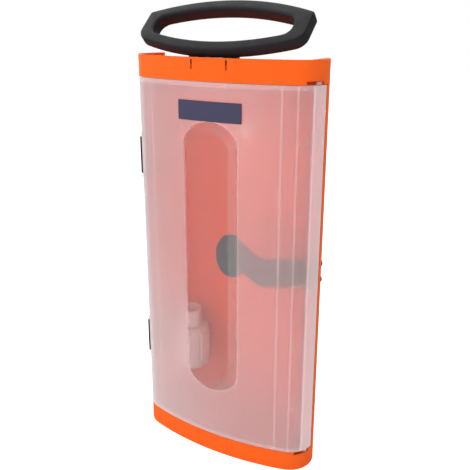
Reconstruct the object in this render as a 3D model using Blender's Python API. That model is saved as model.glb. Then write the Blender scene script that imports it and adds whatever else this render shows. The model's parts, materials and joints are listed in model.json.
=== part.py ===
"""Portable storage case with a bowed hinged door, modelled in metres with +Z up.

The case is a lens in plan: a bowed front and a bowed back that meet in round corners.
The rear half is an orange shell, the front half is a frosted door, and a tray-shaped
cap closes each end. The door turns on two pins at its right edge and is held shut by
two latches at its left edge. A ring handle folds down into a well in the top cap.
Inside, a powder bottle stands in a clip on the rear wall, and a rubber strap reaches
across from the right-hand wall.
"""

import math

import bmesh
import bpy
from mathutils import Matrix, Vector

# Overall case
CASE_WIDTH = 0.2190
CASE_DEPTH = 0.0790
CASE_HEIGHT = 0.4500
CORNER_RADIUS = 0.0288
CAP_HEIGHT = 0.0230
SHELL_WALL = 0.0024
DOOR_WALL = 0.0022
FIT_GAP = 0.0003
SEAM_GAP = 0.0005

# Where the door and the rear shell part, measured from the widest line of the plan
DOOR_EDGE_Y = -0.0012
SHELL_EDGE_Y = 0.0005

# Rear shell
COLLAR_WALL = 0.0024
COLLAR_LENGTH = 0.0100
COLLAR_LEDGE = 0.0040
WALL_PAD_WIDTH = 0.0240
WALL_PAD_HEIGHT = 0.0400
WALL_PAD_PROUD = 0.0008
WALL_PAD_THICKNESS = 0.0030
WALL_PAD_FROM_END = 0.0780
KEYHOLE_HEAD_RADIUS = 0.0045
KEYHOLE_NECK_RADIUS = 0.0023
KEYHOLE_NECK_RISE = 0.0110

# Caps
WELL_DEPTH = 0.0072
WELL_HALF_WIDTH = 0.0995
WELL_REAR_HALF_WIDTH = 0.0980
WELL_REAR_START_Y = 0.0180
SLOT_FROM_CENTRE = 0.0203
SLOT_WIDTH = 0.0020
SLOT_HEIGHT = 0.0094
SLOT_BELOW_RIM = 0.0020
CAP_SCREW_FROM_CENTRE = 0.0600
CAP_SCREW_INTO_CAP = 0.0060

# Door and its hinge
HINGE_FROM_SIDE = 0.0048
HINGE_Y = -0.0095
LUG_RADIUS = 0.0030
LUG_RISE = 0.0034
LUG_LENGTH = 0.0125
PIVOT_PIN_RADIUS = 0.0015
PIVOT_PIN_IN_CAP = 0.0110
PIVOT_PIN_IN_LUG = 0.0100
NOTCH_HEIGHT = 0.0036
NOTCH_FRONT_Y = -0.0225
RETURN_DEPTH = 0.0090
RETURN_THICKNESS = 0.0020
RIB_THICKNESS = 0.0012
RIB_DEPTH = 0.0030
RIB_POSITIONS = (0.0772, 0.0922, 0.1040)
WEB_SPACING = 0.0733
WEB_COUNT = 5
GUSSET_FROM_CENTRE = 0.0200
GUSSET_HEIGHT = 0.0115
GUSSET_DEPTH = 0.0060
GUSSET_THICKNESS = 0.0014

# Recessed window in the door
WINDOW_HALF_WIDTH = 0.0314
WINDOW_BOTTOM = 0.0820
WINDOW_FROM_TOP = 0.0620
WINDOW_ARCH = 0.0250
WINDOW_BORDER = 0.0130
WINDOW_DEPTH = 0.0030

# Label
LABEL_WIDTH = 0.0750
LABEL_HEIGHT = 0.0200
LABEL_THICKNESS = 0.0003
LABEL_ABOVE_WINDOW = 0.0100

# Handle
HANDLE_HALF_WIDTH = 0.0951
HANDLE_EDGE_CLEARANCE = 0.0055
HANDLE_SET_BACK = 0.0029
HANDLE_FAR_CORNER_RADIUS = 0.0034
HANDLE_NEAR_CORNER_RADIUS = 0.0140
HANDLE_BOW_DROP = 0.0170
HANDLE_BAR_WIDTH = 0.0122
HANDLE_HOLE_OFFSET = 0.0014
HANDLE_END_WIDTH = 0.0160
HANDLE_HOLE_CORNER_RADIUS = 0.0100
HANDLE_HOLE_ROUND = 0.0036
HANDLE_THICKNESS = 0.0146
HANDLE_FACE_DROP = 0.0014
HANDLE_BACK_ROUND = 0.0030
HANDLE_FRONT_ROUND = 0.0020
HANDLE_LEAN = math.radians(43.0)
HANDLE_PIVOT_FROM_FRONT = 0.0110
HANDLE_PIVOT_BELOW_RIM = 0.0010
HANDLE_BACK_ABOVE_PIVOT = 0.0015
HANDLE_TAB_WIDTH = 0.0280
HANDLE_TAB_LENGTH = 0.0030
HANDLE_TAB_THICKNESS = 0.0050
KNUCKLE_RADIUS = 0.0034
KNUCKLE_LENGTH = 0.0060
HANDLE_PIN_RADIUS = 0.0012
EAR_THICKNESS = 0.0022
EAR_RADIUS = 0.0036
EAR_STEM_HALF_WIDTH = 0.0026
EAR_NOTCH_RADIUS = 0.0047
WASHER_THICKNESS = 0.0010
WASHER_RADIUS = 0.0033
BRACKET_BASE_HALF_WIDTH = 0.0240
BRACKET_BASE_THICKNESS = 0.0012
BRACKET_BASE_FRONT = 0.0042
BRACKET_BASE_REAR = 0.0055
BRACKET_SCREW_FROM_CENTRE = 0.0100

# Latches
LATCH_FROM_CENTRE = 0.1135
LATCH_HEIGHT = 0.0420
LATCH_THICKNESS = 0.0022
LATCH_STAND_OFF = 0.0008
LATCH_BARREL_RADIUS = 0.0022
LATCH_AXIS_BELOW_SURFACE = 0.0006
LATCH_AXIS_ANGLE = math.radians(204.0)
LATCH_TIP_ANGLE = math.radians(164.0)
LATCH_BOSS_LENGTH = 0.0045
LATCH_PIN_RADIUS = 0.0009
KEEPER_HEIGHT = 0.0005
KEEPER_ANGLES = (math.radians(171.0), math.radians(174.5))

# Powder bottle and its clip
BOTTLE_RADIUS = 0.0197
BOTTLE_BASE_Z = 0.0795
BOTTLE_BODY_HEIGHT = 0.0470
BOTTLE_SHOULDER_ROUND = 0.0060
BOTTLE_WALL = 0.0012
BOTTLE_NECK_RADIUS = 0.0100
BOTTLE_NECK_HEIGHT = 0.0150
BOTTLE_BEARING = math.radians(10.6)
BOTTLE_CAP_RADIUS = 0.0128
BOTTLE_CAP_HEIGHT = 0.0212
BOTTLE_CAP_WALL = 0.0014
SIFTER_FLANGE = 0.0010
SIFTER_PLUG_DEPTH = 0.0040
SIFTER_HOLE_RADIUS = 0.0010
SIFTER_HOLE_CIRCLE = 0.0047
CLIP_BASE_Z = 0.0880
CLIP_HEIGHT = 0.0380
CLIP_WALL = 0.0018
CLIP_PAD_THICKNESS = 0.0020
CLIP_PAD_HALF_WIDTH = 0.0110
CLIP_PAD_OVERLAP = 0.0020
CLIP_MOUTH_HALF_ANGLE = math.radians(62.0)
CLIP_RIVET_INSET = 0.0085

# Interior strap
STRAP_THICKNESS = 0.0030
STRAP_HALF_HEIGHT = 0.0160
STRAP_CENTRE_Z = 0.2305
PADDLE_HALF_HEIGHT = 0.0240
PADDLE_HALF_LENGTH = 0.0175
PADDLE_RISE = 0.0155
PADDLE_CENTRE_X = 0.0205
PADDLE_THICKNESS = 0.0042
PADDLE_SLANT = 0.0012
# Where the paddle is sectioned, from its tip, as shares of its half length
PADDLE_SECTIONS = (0.06, 0.3, 0.8, 1.4, 1.75)
# The band's way to the wall: share of the half width, distance behind the paddle, share of the rise
STRAP_WAY = (
    (0.427, 0.0045, 0.35),
    (0.530, 0.0105, 0.05),
    (0.700, 0.0205, 0.0),
    (0.830, 0.0310, 0.0),
    (0.900, 0.0340, 0.0),
    (0.937, 0.0357, 0.0),
)
ANCHOR_THICKNESS = 0.0015
ANCHOR_ANGLES = (math.radians(20.0), math.radians(48.0))
STRAP_RIVET_SPACING = 0.0180

# Fasteners
SCREW_SHANK_RADIUS = 0.0014
SCREW_SHANK_LENGTH = 0.0075
SCREW_HEAD_RADIUS = 0.0029
SCREW_HEAD_HEIGHT = 0.0018
SCREW_HEAD_EDGE = 0.0009
SCREW_HEAD_TOP_RADIUS = 0.0020
SCREW_TIP_RADIUS = 0.0008
SCREW_RECESS_RADIUS = 0.0012
SCREW_RECESS_DEPTH = 0.0009
RIVET_SHANK_RADIUS = 0.0016
RIVET_HEAD_RADIUS = 0.0032
RIVET_HEAD_HEIGHT = 0.0012
RIVET_DOME_RADIUS = 0.0029
RIVET_DOME_START = 0.0007
RIVET_CROWN_RADIUS = 0.0016
RIVET_TAIL_RADIUS = 0.0011
RIVET_TAIL_LENGTH = 0.0005

# Names of repeated pieces, in the order that they are built
SIDES = ("left", "right")
ENDS = ("lower", "upper")

# How finely curves are divided
BOW_STEPS = 12
CORNER_STEPS = 7
ROUND_STEPS = 24
SMALL_ROUND_STEPS = 16
SHARP_ANGLE = math.radians(35.0)
BEYOND = 0.0010

# Worked out from the sizes above
HALF_WIDTH = CASE_WIDTH / 2
HALF_DEPTH = CASE_DEPTH / 2
CORNER_X = HALF_WIDTH - CORNER_RADIUS
BOW_RADIUS = (CORNER_X**2 + HALF_DEPTH**2 - CORNER_RADIUS**2) / (2 * (HALF_DEPTH - CORNER_RADIUS))
BOW_CENTRE = BOW_RADIUS - HALF_DEPTH
DOOR_BOTTOM = CAP_HEIGHT + SEAM_GAP
DOOR_TOP = CASE_HEIGHT - CAP_HEIGHT - SEAM_GAP
TOP_SKIRT = CASE_HEIGHT - CAP_HEIGHT
WINDOW_TOP = CASE_HEIGHT - WINDOW_FROM_TOP
WELL_FLOOR = CASE_HEIGHT - WELL_DEPTH
HINGE_X = HALF_WIDTH - HINGE_FROM_SIDE
HANDLE_PIVOT_Y = HANDLE_PIVOT_FROM_FRONT - HALF_DEPTH
HANDLE_PIVOT_Z = CASE_HEIGHT - HANDLE_PIVOT_BELOW_RIM
HANDLE_HALF_DEPTH = HALF_DEPTH - HANDLE_EDGE_CLEARANCE
EAR_INNER = SLOT_FROM_CENTRE - EAR_THICKNESS / 2
EAR_OUTER = SLOT_FROM_CENTRE + EAR_THICKNESS / 2
KNUCKLE_INNER_END = EAR_INNER - WASHER_THICKNESS - 2 * FIT_GAP
KNUCKLE_OUTER_START = EAR_OUTER + FIT_GAP
LATCH_AXIS = Vector(
    (
        -CORNER_X + (CORNER_RADIUS - LATCH_AXIS_BELOW_SURFACE) * math.cos(LATCH_AXIS_ANGLE),
        (CORNER_RADIUS - LATCH_AXIS_BELOW_SURFACE) * math.sin(LATCH_AXIS_ANGLE),
        0,
    )
)
LATCH_CENTRES = (CASE_HEIGHT / 2 - LATCH_FROM_CENTRE, CASE_HEIGHT / 2 + LATCH_FROM_CENTRE)
BOTTLE_FROM_BOW = (
    BOW_RADIUS - SHELL_WALL - FIT_GAP - CLIP_PAD_THICKNESS - CLIP_WALL - FIT_GAP - BOTTLE_RADIUS
)
BOTTLE_X = -BOTTLE_FROM_BOW * math.sin(BOTTLE_BEARING)
BOTTLE_Y = BOTTLE_FROM_BOW * math.cos(BOTTLE_BEARING) - BOW_CENTRE
BOTTLE_NECK_BASE_Z = BOTTLE_BASE_Z + BOTTLE_BODY_HEIGHT + BOTTLE_SHOULDER_ROUND


# ---------------------------------------------------------------- scene and meshes


def clear_scene():
    """Remove every object so that the case is built from nothing."""
    for item in list(bpy.data.objects):
        bpy.data.objects.remove(item, do_unlink=True)


def add_object(name, mesh_builder, material=None):
    """Turn a filled bmesh into a named object with outward faces."""
    bmesh.ops.remove_doubles(mesh_builder, verts=mesh_builder.verts, dist=1e-7)
    bmesh.ops.recalc_face_normals(mesh_builder, faces=mesh_builder.faces)
    mesh = bpy.data.meshes.new(name)
    mesh_builder.to_mesh(mesh)
    mesh_builder.free()
    item = bpy.data.objects.new(name, mesh)
    bpy.context.scene.collection.objects.link(item)
    if material:
        mesh.materials.append(material)
    return item


def loft(rings, closed=False):
    """Join rings of equal length into one solid; an open run gets a cap at each end."""
    builder = bmesh.new()
    rows = [[builder.verts.new(point) for point in ring] for ring in rings]
    count = len(rows[0])
    pairs = list(zip(rows, rows[1:]))
    if closed:
        pairs.append((rows[-1], rows[0]))
    for low, high in pairs:
        for i in range(count):
            j = (i + 1) % count
            builder.faces.new((low[i], low[j], high[j], high[i]))
    if not closed:
        builder.faces.new(rows[0])
        builder.faces.new(rows[-1])
    return builder


def upright(points, low, high):
    """Extrude a plan outline between two heights."""
    return loft([[Vector((x, y, z)) for x, y in points] for z in (low, high)])


def box(low, high):
    """Make a rectangular block between two corners."""
    plan = [(low[0], low[1]), (high[0], low[1]), (high[0], high[1]), (low[0], high[1])]
    return upright(plan, low[2], high[2])


def circle(radius, steps=ROUND_STEPS, centre=(0, 0)):
    """Give the points of a circle, anticlockwise."""
    turns = [2 * math.pi * i / steps for i in range(steps)]
    return [(centre[0] + radius * math.cos(a), centre[1] + radius * math.sin(a)) for a in turns]


def turned(stations, steps=ROUND_STEPS):
    """Stack circles of given (radius, height) into one solid with flat ends."""
    return loft([[Vector((x, y, z)) for x, y in circle(r, steps)] for r, z in stations])


def move(builder, matrix):
    """Move a bmesh in place and hand it back."""
    bmesh.ops.transform(builder, matrix=matrix, verts=builder.verts)
    return builder


def gather(*builders):
    """Put several bmeshes that don't touch into one."""
    whole = bmesh.new()
    for part in builders:
        scratch = bpy.data.meshes.new("scratch")
        bmesh.ops.recalc_face_normals(part, faces=part.faces)
        part.to_mesh(scratch)
        part.free()
        whole.from_mesh(scratch)
        bpy.data.meshes.remove(scratch)
    return whole


def combine(item, tool_builder, operation):
    """Apply one exact Boolean of a tool mesh to an object."""
    tool = add_object("tool", tool_builder)
    modifier = item.modifiers.new("shape", "BOOLEAN")
    modifier.operation = operation
    modifier.solver = "EXACT"
    modifier.object = tool
    graph = bpy.context.evaluated_depsgraph_get()
    result = bpy.data.meshes.new_from_object(item.evaluated_get(graph))
    item.modifiers.remove(modifier)
    item.data = result
    bpy.data.objects.remove(tool, do_unlink=True)


def cut(item, *tools):
    """Take each tool away from an object."""
    for tool in tools:
        combine(item, tool, "DIFFERENCE")


def join(item, *tools):
    """Add each tool to an object as one solid."""
    for tool in tools:
        combine(item, tool, "UNION")


def finish(item, material):
    """Give an object its material and shade its round faces smooth."""
    item.data.materials.clear()
    item.data.materials.append(material)
    item.data.shade_smooth()
    item.data.set_sharp_from_angle(angle=SHARP_ANGLE)
    item.data.name = item.name


def add_finished(name, builder, material):
    """Add an object that needs no cutting and give it its material."""
    item = add_object(name, builder)
    finish(item, MATERIALS[material])
    return item


def set_on_axis(item, point):
    """Put an object's origin on its joint's axis without moving its shape."""
    item.data.transform(Matrix.Translation(-Vector(point)))
    item.location = point


def make_axis(name, point):
    """Make the empty that stands on a joint's axis."""
    axis = bpy.data.objects.new(name, None)
    axis.location = point
    axis.empty_display_size = 0.02
    bpy.context.scene.collection.objects.link(axis)
    return axis


def carry(parent, *items):
    """Parent objects to an axis empty without moving them."""
    for item in items:
        item.parent = parent
        item.location = item.location - parent.location


# ---------------------------------------------------------------- materials


def linear(code):
    """Turn a hex colour into linear RGB."""
    channels = [int(code[i : i + 2], 16) / 255 for i in (0, 2, 4)]
    return [c / 12.92 if c <= 0.04045 else ((c + 0.055) / 1.055) ** 2.4 for c in channels]


def surface(name, code, roughness, metallic=0.0, transmission=0.0):
    """Make a Principled material of one colour."""
    material = bpy.data.materials.new(name)
    material.use_nodes = True
    shader = material.node_tree.nodes["Principled BSDF"]
    shader.inputs["Base Color"].default_value = (*linear(code), 1.0)
    shader.inputs["Roughness"].default_value = roughness
    shader.inputs["Metallic"].default_value = metallic
    shader.inputs["Transmission Weight"].default_value = transmission
    material.diffuse_color = (*linear(code), 1.0)
    return material


def orange_plastic():
    """Moulded ABS of the rear shell and the caps."""
    return surface("orange_abs", "F4641E", 0.42)


def frosted_plastic():
    """Natural polypropylene of the door."""
    return surface("frosted_polypropylene", "E9C9C6", 0.45, transmission=0.6)


def black_plastic():
    """Glass-filled nylon of the handle, its bracket and the latches."""
    return surface("black_nylon", "2B2A2D", 0.5)


def black_rubber():
    """Rubber of the interior strap."""
    return surface("black_rubber", "222124", 0.75)


def navy_vinyl():
    """Printed film of the bare label."""
    return surface("navy_vinyl", "3B3A52", 0.35)


def steel():
    """Zinc-plated steel of pins, washers and screws."""
    return surface("plated_steel", "B9BBBE", 0.35, metallic=1.0)


def rivet_metal():
    """Aluminium of the rivets and the anchor plate."""
    return surface("rivet_aluminium", "C3C5C8", 0.4, metallic=1.0)


def bottle_plastic():
    """Translucent polyethylene of the powder bottle."""
    return surface("white_polyethylene", "E8E6E2", 0.5)


def bottle_cap_plastic():
    """Opaque white polypropylene of the bottle's cap and sifter."""
    return surface("white_polypropylene", "F1EFEC", 0.4)


# ---------------------------------------------------------------- outlines


def bowed_half(half_width, half_depth, corner_radius, bow_radius, inset):
    """Give the far half of a lens outline, from the right end to the left one."""
    bow_centre = half_depth - bow_radius
    corner_x = half_width - corner_radius
    reach = bow_radius - corner_radius
    corner_y = max(bow_centre + math.sqrt(reach**2 - corner_x**2), 0.0)
    meet = math.atan2(corner_y - bow_centre, corner_x)
    quarter = []
    for i in range(CORNER_STEPS + 1):
        turn = meet * i / CORNER_STEPS
        radius = corner_radius - inset
        quarter.append((corner_x + radius * math.cos(turn), corner_y + radius * math.sin(turn)))
    for i in range(1, BOW_STEPS + 1):
        turn = meet + (math.pi / 2 - meet) * i / BOW_STEPS
        radius = bow_radius - inset
        quarter.append((radius * math.cos(turn), bow_centre + radius * math.sin(turn)))
    return quarter + [(-x, y) for x, y in reversed(quarter[:-1])]


def bowed_outline(half_width, half_depth, corners, bow_radius, inset=0.0):
    """Give a lens outline with round far and near corners, anticlockwise, moved in by an inset."""
    far, near = [bowed_half(half_width, half_depth, radius, bow_radius, inset) for radius in corners]
    if far[0][1] + near[0][1] < FIT_GAP:
        near = near[1:-1]
    return far + [(x, -y) for x, y in reversed(near)]


def case_outline(inset=0.0):
    """Give the plan of the case, moved in by a wall or a gap."""
    return bowed_outline(HALF_WIDTH, HALF_DEPTH, (CORNER_RADIUS, CORNER_RADIUS), BOW_RADIUS, inset)


def case_block(inset, low, high):
    """Make a solid with the plan of the case."""
    return upright(case_outline(inset), low, high)


def front_y(x, inset=0.0):
    """Give the front bow's Y at one X."""
    return BOW_CENTRE - math.sqrt((BOW_RADIUS - inset) ** 2 - x**2)


def front_frame(x):
    """Give a point of the front surface and the direction into the case there."""
    side = 1 if x > 0 else -1
    meet_x = BOW_RADIUS * CORNER_X / (BOW_RADIUS - CORNER_RADIUS)
    if abs(x) <= meet_x:
        centre = Vector((0, BOW_CENTRE))
        radius = BOW_RADIUS
    else:
        centre = Vector((side * CORNER_X, 0))
        radius = CORNER_RADIUS
    rise = math.sqrt(radius**2 - (x - centre.x) ** 2)
    point = Vector((x, centre.y - rise))
    return point, (centre - point).normalized()


def corner_arc(inset, start, end, side=1, steps=8):
    """Give points on an inset of one round corner between two angles."""
    radius = CORNER_RADIUS - inset
    turns = [start + (end - start) * i / steps for i in range(steps + 1)]
    return [(side * CORNER_X + radius * math.cos(a), radius * math.sin(a)) for a in turns]


def arched_outline(half_width, low, high, rise, steps=9):
    """Give an upright window outline in X and Z with a half-ellipse at each end."""
    points = []
    for end, sign in ((high - rise, 1), (low + rise, -1)):
        for i in range(steps + 1):
            turn = math.pi * i / steps
            points.append((sign * half_width * math.cos(turn), end + sign * rise * math.sin(turn)))
    return points


def flip_height(builder, flip):
    """Mirror a bmesh from the top end of the case to the bottom end."""
    if flip:
        for vertex in builder.verts:
            vertex.co.z = CASE_HEIGHT - vertex.co.z
    return builder


# ---------------------------------------------------------------- rear shell and caps


def rear_normal(x):
    """Give the turn about Z that takes +Y to the rear bow's normal at one X."""
    return -math.asin(x / BOW_RADIUS)


def screw_head():
    """Give the stations of a pan head with a round recess, from the shank up."""
    return [
        (SCREW_SHANK_RADIUS, FIT_GAP),
        (SCREW_HEAD_RADIUS, FIT_GAP),
        (SCREW_HEAD_RADIUS, FIT_GAP + SCREW_HEAD_EDGE),
        (SCREW_HEAD_TOP_RADIUS, FIT_GAP + SCREW_HEAD_HEIGHT),
        (SCREW_RECESS_RADIUS, FIT_GAP + SCREW_HEAD_HEIGHT),
        (SCREW_RECESS_RADIUS, FIT_GAP + SCREW_HEAD_HEIGHT - SCREW_RECESS_DEPTH),
    ]


def cap_screw_places(z):
    """Give the frames of the two screws that hold one cap, +Z along the screw's head."""
    places = []
    for side in (-1, 1):
        x = side * CAP_SCREW_FROM_CENTRE
        y = math.sqrt(BOW_RADIUS**2 - x**2) - BOW_CENTRE
        turn = Matrix.Rotation(rear_normal(x), 4, "Z") @ Matrix.Rotation(-math.pi / 2, 4, "X")
        places.append(Matrix.Translation((x, y, z)) @ turn)
    return places


def screw_holes(z):
    """Make the cutters for one cap's screws."""
    radius = SCREW_SHANK_RADIUS + FIT_GAP
    depth = SHELL_WALL + COLLAR_WALL + 4 * BEYOND
    holes = []
    for place in cap_screw_places(z):
        holes.append(move(turned([(radius, -depth), (radius, BEYOND)], SMALL_ROUND_STEPS), place))
    return gather(*holes)


def clip_rivet_places():
    """Give the frames of the rivets behind the bottle's clip, +Z out of the shell."""
    middle = CLIP_BASE_Z + CLIP_HEIGHT / 2
    reach = CLIP_HEIGHT / 2 - CLIP_RIVET_INSET
    turn = Matrix.Rotation(BOTTLE_BEARING, 4, "Z") @ Matrix.Rotation(-math.pi / 2, 4, "X")
    x = -BOW_RADIUS * math.sin(BOTTLE_BEARING)
    y = BOW_RADIUS * math.cos(BOTTLE_BEARING) - BOW_CENTRE
    return [Matrix.Translation((x, y, middle + s * reach)) @ turn for s in (-1, 1)]


def strap_rivet_places():
    """Give the frames of the rivets that hold the strap, +Z out of the shell."""
    bearing = sum(ANCHOR_ANGLES) / 2
    outward = Matrix.Rotation(bearing, 4, "Z") @ Matrix.Rotation(math.pi / 2, 4, "Y")
    x = CORNER_X + CORNER_RADIUS * math.cos(bearing)
    y = CORNER_RADIUS * math.sin(bearing)
    heights = [STRAP_CENTRE_Z + s * STRAP_RIVET_SPACING / 2 for s in (-1, 1)]
    return [Matrix.Translation((x, y, z)) @ outward for z in heights]


def rivet_holes(places, depth):
    """Make the cutters for rivets that go inwards from the given frames."""
    radius = RIVET_SHANK_RADIUS + FIT_GAP
    return gather(
        *[move(turned([(radius, -depth), (radius, BEYOND)], SMALL_ROUND_STEPS), p) for p in places]
    )


def wall_pad_centres():
    """Give the heights of the two wall pads, lower first."""
    return WALL_PAD_FROM_END, CASE_HEIGHT - WALL_PAD_FROM_END


def keyhole():
    """Make the cutter for the upper wall pad's keyhole and the lower pad's round hole."""
    lower, upper = wall_pad_centres()
    depth = HALF_DEPTH + WALL_PAD_PROUD + BEYOND
    start = HALF_DEPTH - WALL_PAD_THICKNESS - SHELL_WALL
    half = KEYHOLE_NECK_RADIUS
    outline = []
    meet = math.asin(half / KEYHOLE_HEAD_RADIUS)
    for i in range(SMALL_ROUND_STEPS + 1):
        turn = math.pi / 2 + meet + (2 * math.pi - 2 * meet) * i / SMALL_ROUND_STEPS
        outline.append((KEYHOLE_HEAD_RADIUS * math.cos(turn), KEYHOLE_HEAD_RADIUS * math.sin(turn)))
    for i in range(SMALL_ROUND_STEPS // 2 + 1):
        turn = 2 * math.pi * i / SMALL_ROUND_STEPS
        outline.append((half * math.cos(turn), KEYHOLE_NECK_RISE + half * math.sin(turn)))
    head_z = upper - KEYHOLE_NECK_RISE / 2
    key = loft([[Vector((x, y, head_z + z)) for x, z in outline] for y in (start, depth)])
    hole = circle(half, SMALL_ROUND_STEPS)
    plain = loft([[Vector((x, y, lower + z)) for x, z in hole] for y in (start, depth)])
    return gather(key, plain)


def keeper(centre_z):
    """Make the low ridge that one latch closes behind."""
    outer = corner_arc(-KEEPER_HEIGHT, *KEEPER_ANGLES, side=-1, steps=2)
    inner = corner_arc(SHELL_WALL / 2, *KEEPER_ANGLES, side=-1, steps=2)
    half = LATCH_HEIGHT / 2 - 2 * BEYOND
    return upright(outer + inner[::-1], centre_z - half, centre_z + half)


def build_back_shell():
    """Model the rear half of the case with a collar at each end for the caps."""
    collar_inset = SHELL_WALL + FIT_GAP
    collar_inner = collar_inset + COLLAR_WALL
    shell = add_object("back_shell", case_block(0, DOOR_BOTTOM, DOOR_TOP))
    low_end = DOOR_BOTTOM - COLLAR_LENGTH
    high_end = DOOR_TOP + COLLAR_LENGTH
    join(shell, case_block(collar_inset, low_end, high_end))
    cut(shell, case_block(collar_inner, low_end - BEYOND, high_end + BEYOND))
    cut(shell, case_block(SHELL_WALL, DOOR_BOTTOM + COLLAR_LEDGE, DOOR_TOP - COLLAR_LEDGE))
    far = CASE_WIDTH
    cut(shell, box((-far, -far, -BEYOND), (far, SHELL_EDGE_Y, CASE_HEIGHT + BEYOND)))
    pads = []
    for z in wall_pad_centres():
        low = (-WALL_PAD_WIDTH / 2, HALF_DEPTH - WALL_PAD_THICKNESS, z - WALL_PAD_HEIGHT / 2)
        high = (WALL_PAD_WIDTH / 2, HALF_DEPTH + WALL_PAD_PROUD, z + WALL_PAD_HEIGHT / 2)
        pads.append(box(low, high))
    join(shell, gather(*pads), gather(*[keeper(z) for z in LATCH_CENTRES]))
    cut(shell, keyhole())
    cut(shell, screw_holes(CAP_HEIGHT - CAP_SCREW_INTO_CAP))
    cut(shell, screw_holes(TOP_SKIRT + CAP_SCREW_INTO_CAP))
    cut(shell, rivet_holes(clip_rivet_places(), SHELL_WALL + BEYOND))
    cut(shell, rivet_holes(strap_rivet_places(), SHELL_WALL + BEYOND))
    finish(shell, MATERIALS["orange"])
    return shell


def hinge_boss(flip):
    """Make the post inside a cap that holds the door's pin."""
    low = TOP_SKIRT + NOTCH_HEIGHT
    high = CASE_HEIGHT - SHELL_WALL / 2
    plan = circle(LUG_RADIUS, SMALL_ROUND_STEPS, (HINGE_X, HINGE_Y))
    return flip_height(upright(plan, low, high), flip)


def hinge_notch(flip):
    """Make the cutter that clears the skirt's edge for the door's lug."""
    low = (CORNER_X + LUG_RADIUS, NOTCH_FRONT_Y, TOP_SKIRT - BEYOND)
    high = (HALF_WIDTH + BEYOND, HINGE_Y + LUG_RADIUS + SEAM_GAP, TOP_SKIRT + NOTCH_HEIGHT)
    return flip_height(box(low, high), flip)


def hinge_bore(flip):
    """Make the cutter for the pin in a cap's post."""
    high = TOP_SKIRT + NOTCH_HEIGHT + PIVOT_PIN_IN_CAP + FIT_GAP
    plan = circle(PIVOT_PIN_RADIUS + FIT_GAP, SMALL_ROUND_STEPS, (HINGE_X, HINGE_Y))
    return flip_height(upright(plan, TOP_SKIRT, high), flip)


def side_pockets():
    """Make the cutters that hollow the top cap's raised ends."""
    wall = WELL_HALF_WIDTH + SHELL_WALL
    pockets = []
    for side in (-1, 1):
        plan = [(x, y) for x, y in case_outline(SHELL_WALL) if side * x > wall]
        edge = max(y for x, y in plan)
        first, last = (edge, -edge) if side < 0 else (-edge, edge)
        plan = sorted(plan, key=lambda point: side * point[1])
        plan = plan + [(side * wall, last), (side * wall, first)]
        pockets.append(upright(plan, WELL_FLOOR - 2 * SHELL_WALL, CASE_HEIGHT - SHELL_WALL))
    return gather(*pockets)


def build_top_cap():
    """Model the upper cap with the well that the handle folds into."""
    cap = add_object("top_cap", case_block(0, TOP_SKIRT, CASE_HEIGHT))
    cut(cap, case_block(SHELL_WALL, TOP_SKIRT - BEYOND, WELL_FLOOR - SHELL_WALL))
    cut(cap, side_pockets())
    well = add_object("well", case_block(SHELL_WALL, WELL_FLOOR, CASE_HEIGHT + BEYOND))
    rear = [
        (-WELL_REAR_HALF_WIDTH, WELL_REAR_START_Y),
        (WELL_REAR_HALF_WIDTH, WELL_REAR_START_Y),
        (WELL_REAR_HALF_WIDTH, CASE_DEPTH),
        (-WELL_REAR_HALF_WIDTH, CASE_DEPTH),
    ]
    for side in (-1, 1):
        low_x, high_x = sorted((side * WELL_HALF_WIDTH, side * CASE_WIDTH))
        outside = box((low_x, -CASE_DEPTH, 0), (high_x, CASE_DEPTH, 2 * CASE_HEIGHT))
        cut(well, outside)
    join(well, upright(rear, WELL_FLOOR, CASE_HEIGHT + 2 * BEYOND))
    well_tool = bmesh.new()
    well_tool.from_mesh(well.data)
    bpy.data.objects.remove(well, do_unlink=True)
    cut(cap, well_tool)
    join(cap, hinge_boss(False))
    slot_top = CASE_HEIGHT - SLOT_BELOW_RIM
    slots = []
    for side in (-1, 1):
        x = side * SLOT_FROM_CENTRE
        inner_y = front_y(x, SHELL_WALL) + FIT_GAP
        low = (x - SLOT_WIDTH / 2, -HALF_DEPTH - BEYOND, slot_top - SLOT_HEIGHT)
        slots.append(box(low, (x + SLOT_WIDTH / 2, inner_y, slot_top)))
    cut(cap, hinge_notch(False), hinge_bore(False), gather(*slots))
    cut(cap, screw_holes(TOP_SKIRT + CAP_SCREW_INTO_CAP), bracket_screw_holes())
    finish(cap, MATERIALS["orange"])
    return cap


def build_bottom_cap():
    """Model the lower cap, a plain tray that the case stands on."""
    cap = add_object("bottom_cap", case_block(0, 0, CAP_HEIGHT))
    cut(cap, case_block(SHELL_WALL, SHELL_WALL, CAP_HEIGHT + BEYOND))
    join(cap, hinge_boss(True))
    cut(cap, hinge_notch(True), hinge_bore(True))
    cut(cap, screw_holes(CAP_HEIGHT - CAP_SCREW_INTO_CAP))
    finish(cap, MATERIALS["orange"])
    return cap


def build_cap_screws(cap_name, z):
    """Model the two screws that fix one cap to the shell's collar."""
    for side, place in zip(SIDES, cap_screw_places(z)):
        stations = [
            (SCREW_TIP_RADIUS, FIT_GAP - SCREW_SHANK_LENGTH),
            (SCREW_SHANK_RADIUS, FIT_GAP - SCREW_SHANK_LENGTH + SCREW_SHANK_RADIUS),
            *screw_head(),
        ]
        screw = move(turned(stations, SMALL_ROUND_STEPS), place)
        add_finished(f"{cap_name}_screw_{side}", screw, "steel")


# ---------------------------------------------------------------- door


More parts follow.
